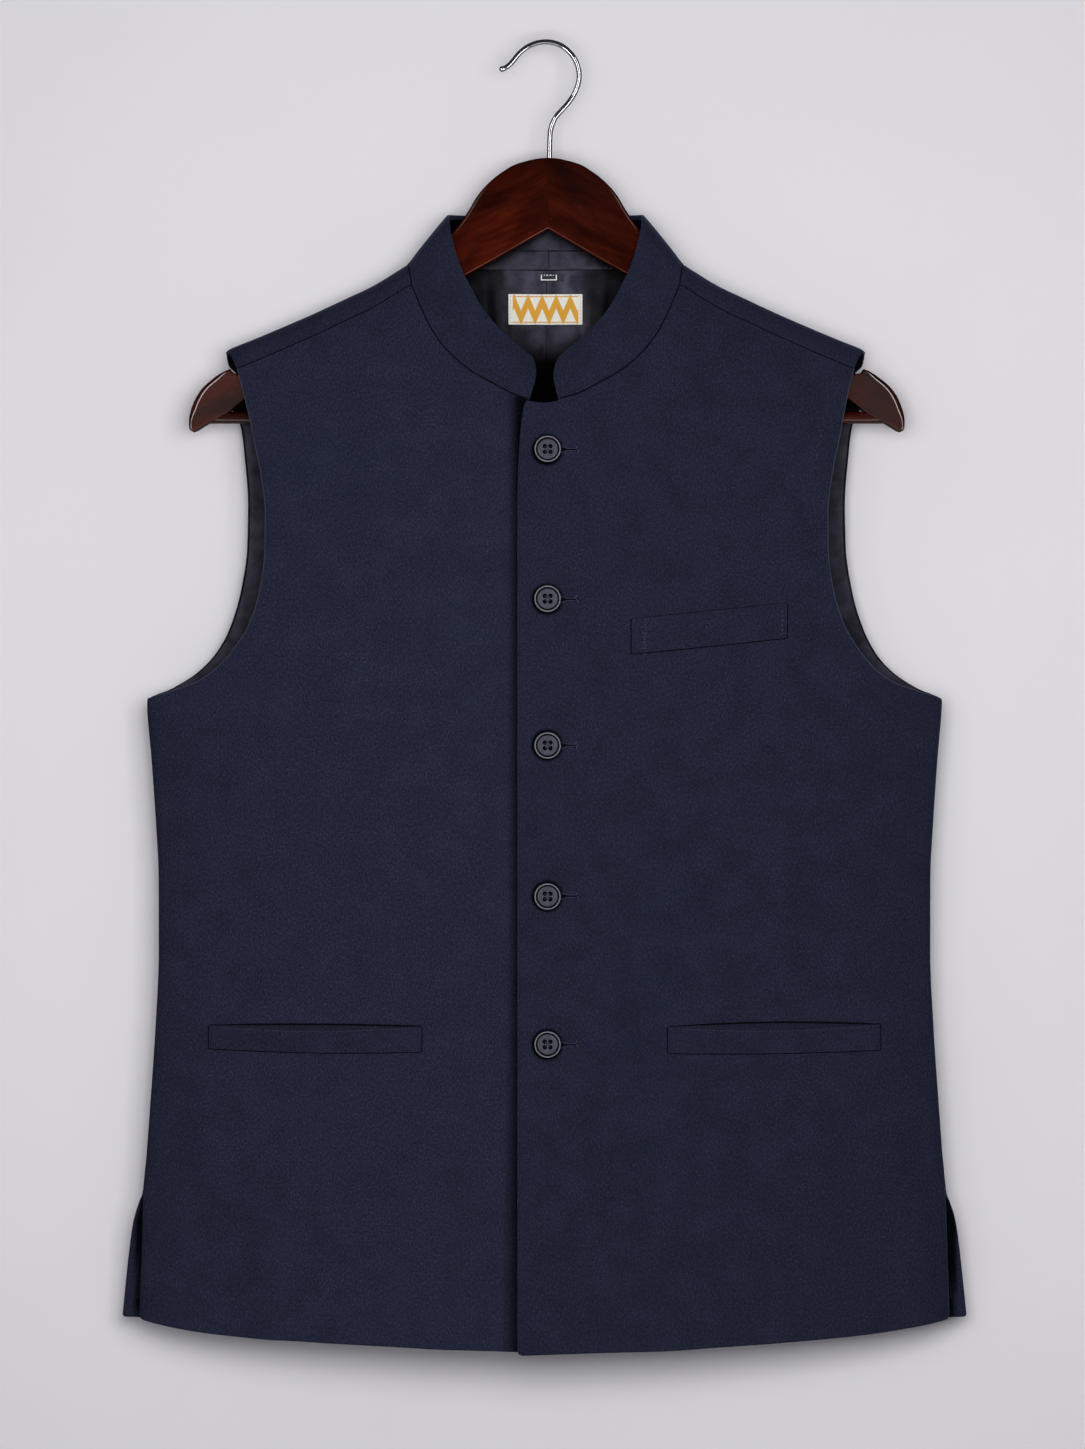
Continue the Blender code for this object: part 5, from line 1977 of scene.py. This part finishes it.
def grainGroup():
    # long streaks with a few bands, on a map whose first axis runs along the wood
    group, start, end = newGroup(
        "woodGrain", {"Streak Size": 2.4, "Band Size": 16.0}, ["Streak", "Band", "Pore"]
    )
    flat = weaveMap(group)
    for key, length, detail, low, high in (
        ("Streak", 0.12, 6.0, 0.34, 0.68),
        ("Band", 0.26, 4.0, 0.28, 0.72),
    ):
        along = node(group, "Mapping", {0: flat, "Scale": (length, 1.0, 1.0)}).outputs[0]
        look = {"Scale": calc(group, "DIVIDE", 1.0, start[key + " Size"]), "Detail": detail}
        grain = noiseOf(group, along, True, **look, Roughness=0.6, Distortion=0.25)
        give(group, end, {key: rangeOf(group, grain, low, high)})
    fine = node(group, "Mapping", {0: flat, "Scale": (0.12, 1.0, 1.0)}).outputs[0]
    pore = noiseOf(group, fine, True, Scale=2.6, Detail=2.0)
    give(group, end, {"Pore": rangeOf(group, pore, 0.62, 0.72)})
    return group


def makeMahogany():
    material, tree, shader = newMaterial("mahoganyLacquer", wood["red"], 0.5, {
        "Specular IOR Level": 0.0, "Coat Roughness": 0.12, "Coat IOR": 1.5,
    })
    grain = node(tree, "Group", node_tree=grainGroup()).outputs
    place = objectPlace(tree)
    parts = partsOf(tree, place)
    facing = partsOf(tree, node(tree, "NewGeometry").outputs["Normal"])[2]
    middle = (hanger["centre"] + hanger["notchShift"]) * mm
    off, aside = calc(tree, "SUBTRACT", parts[0], middle), offFrom(tree, parts[0], middle)
    give(tree, shader, {"Coat Weight": rangeOf(tree, aside, 0.165, 0.205, wood["coat"], wood["tipCoat"])})
    glow = calc(tree, "POWER", grain["Band"], 1.3)
    glow = times(tree, grain["Streak"], glow, wood["glow"])
    # the painted highlight along the lower edge, broken up by noise and strongest along the V near the
    # middle
    wear = noiseOf(tree, place, Scale=30.0, Detail=2.0)
    edgeHighlight = times(
        tree, rangeOf(tree, facing, -0.12, -0.22), rangeOf(tree, facing, -0.50, -0.40),
        rangeOf(tree, wear, 0.35, 0.65, 0.35, 1.0),
        rangeOf(tree, aside, 0.066, 0.075, wood["edgeHighlight"], 0.12),
    )
    cells = node(tree, "TexVoronoi", {"Vector": place, "Scale": 62.0, "Randomness": 1.0})
    rarity = rangeOf(tree, noiseOf(tree, place, Scale=46.0, Detail=1.0), 0.5, 0.56, 0.0, 0.75)
    specks = times(tree, below(tree, cells.outputs["Distance"], 0.045, 0.075), rarity)
    base = wood["dark"]
    for factor, colour in (
        (grain["Band"], "red"), (glow, "warm"), (times(tree, grain["Pore"], 0.45), "dark"),
        (rangeOf(tree, aside, 0.0002, 0.0005, 0.25, 0.0), "dark"), (edgeHighlight, "edge"), (specks, "speck"),
    ):
        base = colourMix(tree, factor, base, wood[colour])
    board = rangeOf(tree, off, -0.0001, 0.0001, wood["paler"], wood["darker"])
    # painted shade, darker towards the top
    top = rangeOf(tree, parts[2], -0.112, -0.080, 1.0, wood["topShade"])
    base = scaled(tree, base, times(tree, board, top))
    dress(tree, shader, base, (0.42, 0.60), [(grain["Streak"], 0.06, 0.0002)], 9.0)
    return material


mahogany = makeMahogany()


def curveThrough(points, count):
    # a smooth run through the points, with the same number of steps between each two
    points = [Vector(point) for point in points]
    found = []
    for i in range(len(points) - 1):
        p1, p2 = points[i], points[i + 1]
        p0 = points[i - 1] if i > 0 else 2 * p1 - p2
        p3 = points[i + 2] if i + 2 < len(points) else 2 * p2 - p1
        for step in range(count):
            f = step / count
            bend = (2 * p0 - 5 * p1 + 4 * p2 - p3) * f * f + (3 * p1 - p0 - 3 * p2 + p3) * f ** 3
            found.append(0.5 * (2 * p1 + (p2 - p0) * f + bend))
    found.append(points[-1])
    return found


def edgeRound(point, upper):
    # the radius of the rounded edge at a place on the arm's outline
    x, z = point
    if not upper:
        return mix(hanger["lowRound"], 1.5, past(x, (214.0, 14.0)))
    radius = hanger["round"] - 1.0 * math.exp(-(((x - 203.0) / 6.0) ** 2))
    radius = mix(radius, hanger["tipRound"], past(x, (209.0, 8.0)))
    if x > 209.0:
        radius = mix(1.6, radius, past(z, (-249.0, 13.0)))
    return radius


def armOutline():
    inner = hanger["mitreGap"] / 2
    (beforeX, beforeZ), topSteps, lowSteps = hanger["before"], 5, 4
    top = [(beforeX, beforeZ), (inner, hanger["apex"]), *hanger["top"]]
    upper = curveThrough(top, topSteps)[topSteps:]
    upper += [Vector(point) for point in hanger["tip"][:-1]]
    low = [hanger["tip"][-1], *hanger["bottom"], (inner, hanger["notch"])]
    lower = curveThrough(low, lowSteps)
    rounds = [edgeRound(point, True) for point in upper] + [edgeRound(point, False) for point in lower]
    return upper + lower, rounds


def insetOutline(outline, distances):
    found, last = [], len(outline) - 1
    for i, (point, distance) in enumerate(zip(outline, distances)):
        if i in (0, last):
            other = outline[1] if i == 0 else outline[last - 1]
            rise = distance / max(abs((other - point).normalized().x), 0.3)
            found.append(Vector((point.x, point.y + (-rise if i == 0 else rise))))
            continue
        before = (point - outline[i - 1]).normalized()
        after = (outline[i + 1] - point).normalized()
        normal = Vector((before.y + after.y, -before.x - after.x)).normalized()
        shrink = max(abs(normal.dot(Vector((before.y, -before.x)))), 0.6)
        found.append(point + normal * distance / shrink)
    return found


def makeArm(side):
    outline, rounds = armOutline()
    half = hanger["thick"] / 2
    swings = steps(hanger["roundSteps"], math.pi / 2, 0.0)
    layers = [(angle, 1) for angle in swings] + [(angle, -1) for angle in reversed(swings)]
    points, where = [], []
    lean = math.radians(hanger["grainLean"])
    mapX, mapZ, mapDepth = hanger["mapShift"]
    for angle, face in layers:
        insets = [radius * (1.0 - math.cos(angle)) for radius in rounds]
        for spot, radius in zip(insetOutline(outline, insets), rounds):
            depth = face * (half - radius + radius * math.sin(angle))
            x = max(spot.x, hanger["mitreGap"] / 2)
            shift = hanger["notchShift"] * math.exp(-x / hanger["notchFade"])
            points.append(Vector((side * x + hanger["centre"] + shift, depth, spot.y)))
            along = x * math.cos(lean) - spot.y * math.sin(lean)
            across = x * math.sin(lean) + spot.y * math.cos(lean)
            where.append((along + mapX * (side > 0), across + depth * mapDepth + mapZ * (side > 0)))
    wide, last = len(outline), len(layers) - 1
    corners = [i * wide + j for i in range(last) for j in range(wide - 1)]
    faces = [(a, a + 1, a + 1 + wide, a + wide) for a in corners]
    flats = len(faces)
    faces.append(tuple(range(wide)))
    faces.append(tuple(range(last * wide + wide - 1, last * wide - 1, -1)))
    mitre = [i * wide for i in range(last, -1, -1)] + [i * wide + wide - 1 for i in range(last + 1)]
    faces.append(tuple(mitre))
    mesh = meshOf("arm", points, faces)
    work = bmesh.new()
    work.from_mesh(mesh)
    bmesh.ops.recalc_face_normals(work, faces=work.faces)
    work.to_mesh(mesh)
    work.free()
    name = "hanger_arm_" + ("left" if side > 0 else "right")
    piece = addPiece(name + "_wood", mesh, [mahogany])
    layWeave(mesh, where)
    flatEdges = set()
    for polygon in list(mesh.polygons)[flats:]:
        polygon.use_smooth = False
        flatEdges |= {tuple(sorted(key)) for key in polygon.edge_keys}
    for edge in mesh.edges:
        if tuple(sorted(edge.vertices)) in flatEdges:
            edge.use_edge_sharp = True
    settle(piece, "wood", name)


def makeBar():
    sides, count = hanger["barGrid"]
    reach = hanger["barEnd"] - hanger["barGap"] + hanger["barLap"]
    points, where = [], []
    for place in steps(count, -1.0, 1.0):
        bend = max(abs(place) * 8 - 7, 0) * (1 if place > 0 else -1)
        for angle in turns(sides):
            y, z = hanger["barRadius"] * math.cos(angle), hanger["barTall"] * math.sin(angle)
            x = place * reach - z / hanger["barSlant"] * bend
            points.append(Vector((x + hanger["centre"], y, hanger["barHeight"] + hanger["barLift"] + z)))
            where.append((x + hanger["barMap"], angle * hanger["barRadius"]))
    faces = []
    for i in range(count):
        for k in range(sides):
            a, b = i * sides + k, i * sides + (k + 1) % sides
            faces.append((a, a + sides, b + sides, b))
    faces.append(tuple(range(sides)))
    faces.append(tuple(range(len(points) - 1, len(points) - sides - 1, -1)))
    mesh = meshOf("bar", points, faces)
    piece = addPiece("hanger_bar_wood", mesh, [mahogany], hanger["barSharp"])
    layWeave(mesh, where)
    settle(piece, "wood", "hanger_bar")


makeArm(1)
makeArm(-1)
makeBar()
print("hanger is shaped")


# The hook

hook = {
    "wireRadius": 1.65,
    # down the wire from the hanger, round the top and to its turned end
    "route": [
        (2.6, -75.6), (2.7, -68.0), (2.9, -61.0), (3.3, -55.6), (5.6, -49.0), (9.1, -44.5),
        (13.0, -40.4), (16.4, -36.2), (18.9, -32.0), (20.7, -27.8), (21.7, -23.6), (21.9, -19.6),
        (21.3, -15.5), (19.9, -11.3), (17.4, -7.2), (13.8, -3.4), (9.8, -0.7), (5.2, 0.9),
        (0.5, 1.5), (-4.5, 1.0), (-9.4, -0.6), (-13.5, -3.0), (-16.9, -5.9), (-19.8, -9.3),
        (-22.4, -12.6), (-25.6, -15.2), (-30.0, -17.0),
    ],
    "steps": 8,
    "calm": 14,  # rounds of smoothing along the wire
    "endRadius": 1.95,
    "endFade": 1.6,
    "markSize": 3.0,
    "clean": (0.52, 0.52, 0.54),
    "dull": (0.42, 0.42, 0.44),
}


def makeChrome():
    material, tree, shader = newMaterial("polishedChrome", (0.74, 0.74, 0.76), 0.08, {"Metallic": 1.0})
    worn = node(tree, "Group", {"Mark Size": hook["markSize"]}, node_tree=dust).outputs["Mask"]
    base = colourMix(tree, worn, hook["clean"], hook["dull"])
    dress(tree, shader, base, (0.05, 0.12), [(None, 0.05, 0.0001)], hook["markSize"])
    return material


def makeHook():
    line = [Vector((point.x, 0.0, point.y)) for point in curveThrough(hook["route"], hook["steps"])]
    for _ in range(hook["calm"]):
        inner = [(a + 2 * b + c) / 4 for a, b, c in zip(line, line[1:], line[2:])]
        line = [line[0], *inner, line[-1]]
    total = sum((b - a).length for a, b in zip(line, line[1:]))
    wire, full = hook["wireRadius"], hook["endRadius"]

    def radius(share):
        left = (1.0 - share) * total
        swell = mix(full, wire, smooth((left - full) / hook["endFade"]))
        return swell if left > full else math.sqrt(max(full ** 2 - (full - left) ** 2, 0.04))

    settle(tube("hook_wire", [line], radius, makeChrome(), sides=24), "chrome", "hook")


makeHook()
print("hook is bent")


# How each cloth piece was cut, listed here; the loop below does nothing with the list

cuts = (
    # piece, flat size, area, what it rests on; {} stands for left and then for right
    ("front_{}_cloth", (0.290, 0.645), 0.166, "back_{}_cloth"),
    ("back_{}_cloth", (0.280, 0.735), 0.169, "hanger_arm_{}_wood"),
    ("back_lining_{}_satin", (0.270, 0.690), 0.154, "back_{}_cloth"),
    ("collar_cloth", (0.400, 0.060), 0.0165, "back_left_cloth"),
    ("collar_lining_satin", (0.400, 0.060), 0.0155, "collar_cloth"),
    ("breast_welt_cloth", (0.102, 0.024), 0.0022, "front_left_cloth"),
    ("{}_welt_cloth", (0.140, 0.018), 0.0021, "front_{}_cloth"),
    ("{}_lip_cloth", (0.134, 0.0105), 0.00062, "front_{}_cloth"),
    ("main_label_weave", (0.0495, 0.0205), None, "back_lining_left_satin"),
    ("size_label_weave", (0.0155, 0.0102), 0.000104, "back_lining_left_satin"),
)
for name, flat, area, rests in cuts:
    for side in ("left", "right") if "{}" in name else ("",):
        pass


# Stage, lights and camera

stage = {
    "wallGap": 0.043,  # behind the middle plane
    "wallSize": 3.4,
    "wallDrop": 0.4,
    "wallColour": (0.800, 0.784, 0.822),
    "floorHeight": -2.6,
    "floorSize": (4, 5),
    "floorColour": (0.70, 0.69, 0.72),
    "ambient": 0.168,
    "ambientColour": (1.0, 0.99, 1.03),
    "glossColour": (1.0, 0.99, 1.02),
    "glossFront": 0.008,  # what polished parts reflect from the front, the sides and the wall
    "glossSides": 0.42,
    "glossWall": 0.03,
    "background": (0.72, 0.705, 0.75),
}

camera = {"place": (-0.00195, -2.6, -0.4423), "sensor": 36.0, "lens": 99.38, "tilt": 90.0}

lights = {
    # place, aimed at, width, height, power, what it lights: all, matt surfaces or gloss alone
    "front": ((-0.09, -1.80, -0.36), (0.0, 0.0, -0.36), 0.46, 0.54, 10.8, "matt"),
    "right": ((0.25, -1.60, -0.27), (0.0, 0.0, -0.32), 0.55, 0.55, 9.7, "matt"),
    "left": ((-0.364, -1.65, -0.29), (0.0, 0.0, -0.36), 0.82, 0.82, 4.0, "matt"),
    "stripLeft": ((-1.0, -1.5, -0.2), (0.0, 0.0, -0.2), 0.24, 2.2, 21.0, "gloss"),
    "stripRight": ((1.0, -1.5, -0.2), (0.0, 0.0, -0.2), 0.24, 2.2, 21.0, "gloss"),
    "stripLow": ((0.0, -1.3, -1.65), (0.0, 0.0, -0.15), 1.8, 0.8, 6.0, "gloss"),
    "hazeLeft": ((-0.38, -1.8, -0.09), (0.0, 0.0, -0.25), 0.3, 0.3, 0.10, "gloss"),
    "hazeRight": ((0.38, -1.8, -0.09), (0.0, 0.0, -0.25), 0.3, 0.3, 0.10, "gloss"),
    "hazeTop": ((0.04, -1.8, 0.148), (0.02, 0.0, -0.09), 0.035, 0.06, 0.0035, "gloss"),
    "rearLeft": ((-1.5, 2.3, 0.3), (0.0, 0.0, -0.45), 1.2, 1.2, 26.0, "matt"),
    "rearRight": ((1.5, 2.3, 0.3), (0.0, 0.0, -0.45), 1.2, 1.2, 26.0, "matt"),
}


def slab(name, corners, material):
    mesh = bpy.data.meshes.new(name)
    mesh.from_pydata(corners, [], [(0, 1, 2, 3)])
    mesh.materials.append(material)
    return addObject(name, mesh)


def makeWallPaint():
    # matt paint that only the camera sees, from the front
    paint = bpy.data.materials.new("wallPaint")
    paint.use_nodes = True
    tree = paint.node_tree
    tree.nodes.remove(tree.nodes["Principled BSDF"])
    patch = noiseOf(tree, objectPlace(tree), Scale=5.0, Detail=3.0)
    colour = scaled(tree, stage["wallColour"], rangeOf(tree, patch, 0.3, 0.7, 0.985, 1.01))
    matt = node(tree, "BsdfDiffuse", {"Color": colour}).outputs[0]
    clear = node(tree, "BsdfTransparent").outputs[0]
    ahead = calc(tree, "SUBTRACT", 1.0, node(tree, "NewGeometry").outputs["Backfacing"])
    seen = times(tree, node(tree, "LightPath").outputs["Is Camera Ray"], ahead)
    blend = node(tree, "MixShader", {0: seen, 1: clear, 2: matt}).outputs[0]
    put(tree, blend, tree.nodes["Material Output"].inputs["Surface"])
    return paint


def makeStage():
    half, gap = stage["wallSize"] / 2, stage["wallGap"]
    low, top = -half - stage["wallDrop"], half - stage["wallDrop"]
    corners = [(-half, gap, low), (half, gap, low), (half, gap, top), (-half, gap, top)]
    wall = slab("wall", corners, makeWallPaint())
    (wide, deep), high = stage["floorSize"], stage["floorHeight"]
    corners = [(-wide, -deep, high), (wide, -deep, high), (wide, deep, high), (-wide, deep, high)]
    floor = slab("floor", corners, newMaterial("floorPaint", stage["floorColour"], 0.8, {})[0])


def makeWorld():
    world = bpy.data.worlds.new("studio")
    bpy.context.scene.world = world
    world.use_nodes = True
    tree = world.node_tree
    seen = tree.nodes["Background"]
    give(tree, seen.inputs, {"Color": stage["background"]})
    soft = node(tree, "Background", {"Color": stage["ambientColour"], "Strength": stage["ambient"]})
    parts = partsOf(tree, node(tree, "TexCoord").outputs["Generated"])
    sides = times(
        tree, rangeOf(tree, parts[1], -0.96, -0.72, stage["glossFront"], stage["glossSides"]),
        below(tree, parts[1], -0.42, -0.05), rangeOf(tree, parts[2], -0.25, 0.25, 1.0, 0.1),
    )
    bright = calc(tree, "ADD", sides, stage["glossWall"])
    gloss = node(tree, "Background", {"Color": stage["glossColour"], "Strength": bright})
    path = node(tree, "LightPath").outputs
    light = node(tree, "MixShader", {0: path["Is Glossy Ray"], 1: soft.outputs[0], 2: gloss.outputs[0]})
    whole = node(tree, "MixShader", {0: path["Is Camera Ray"], 1: light.outputs[0], 2: seen.outputs[0]})
    put(tree, whole.outputs[0], tree.nodes["World Output"].inputs["Surface"])


def makeLights():
    for name, (place, aim, width, height, power, reach) in lights.items():
        lamp = bpy.data.lights.new(name, "AREA")
        lamp.shape = "RECTANGLE"
        lamp.size, lamp.size_y, lamp.energy = width, height, power
        piece = addObject(name, lamp)
        piece.location = place
        piece.rotation_euler = (Vector(aim) - Vector(place)).to_track_quat("-Z", "Y").to_euler()
        piece.visible_glossy = reach != "matt"
        piece.visible_diffuse = reach != "gloss"


def makeCamera():
    view = bpy.data.cameras.new("camera")
    view.sensor_width, view.lens = camera["sensor"], camera["lens"]
    piece = addObject("camera", view)
    piece.location = camera["place"]
    piece.rotation_euler = (math.radians(camera["tilt"]), 0.0, 0.0)
    bpy.context.scene.camera = piece


makeStage()
makeWorld()
makeLights()
makeCamera()
bpy.context.scene.view_settings.view_transform = "Standard"
print("stage, lights and camera are set")
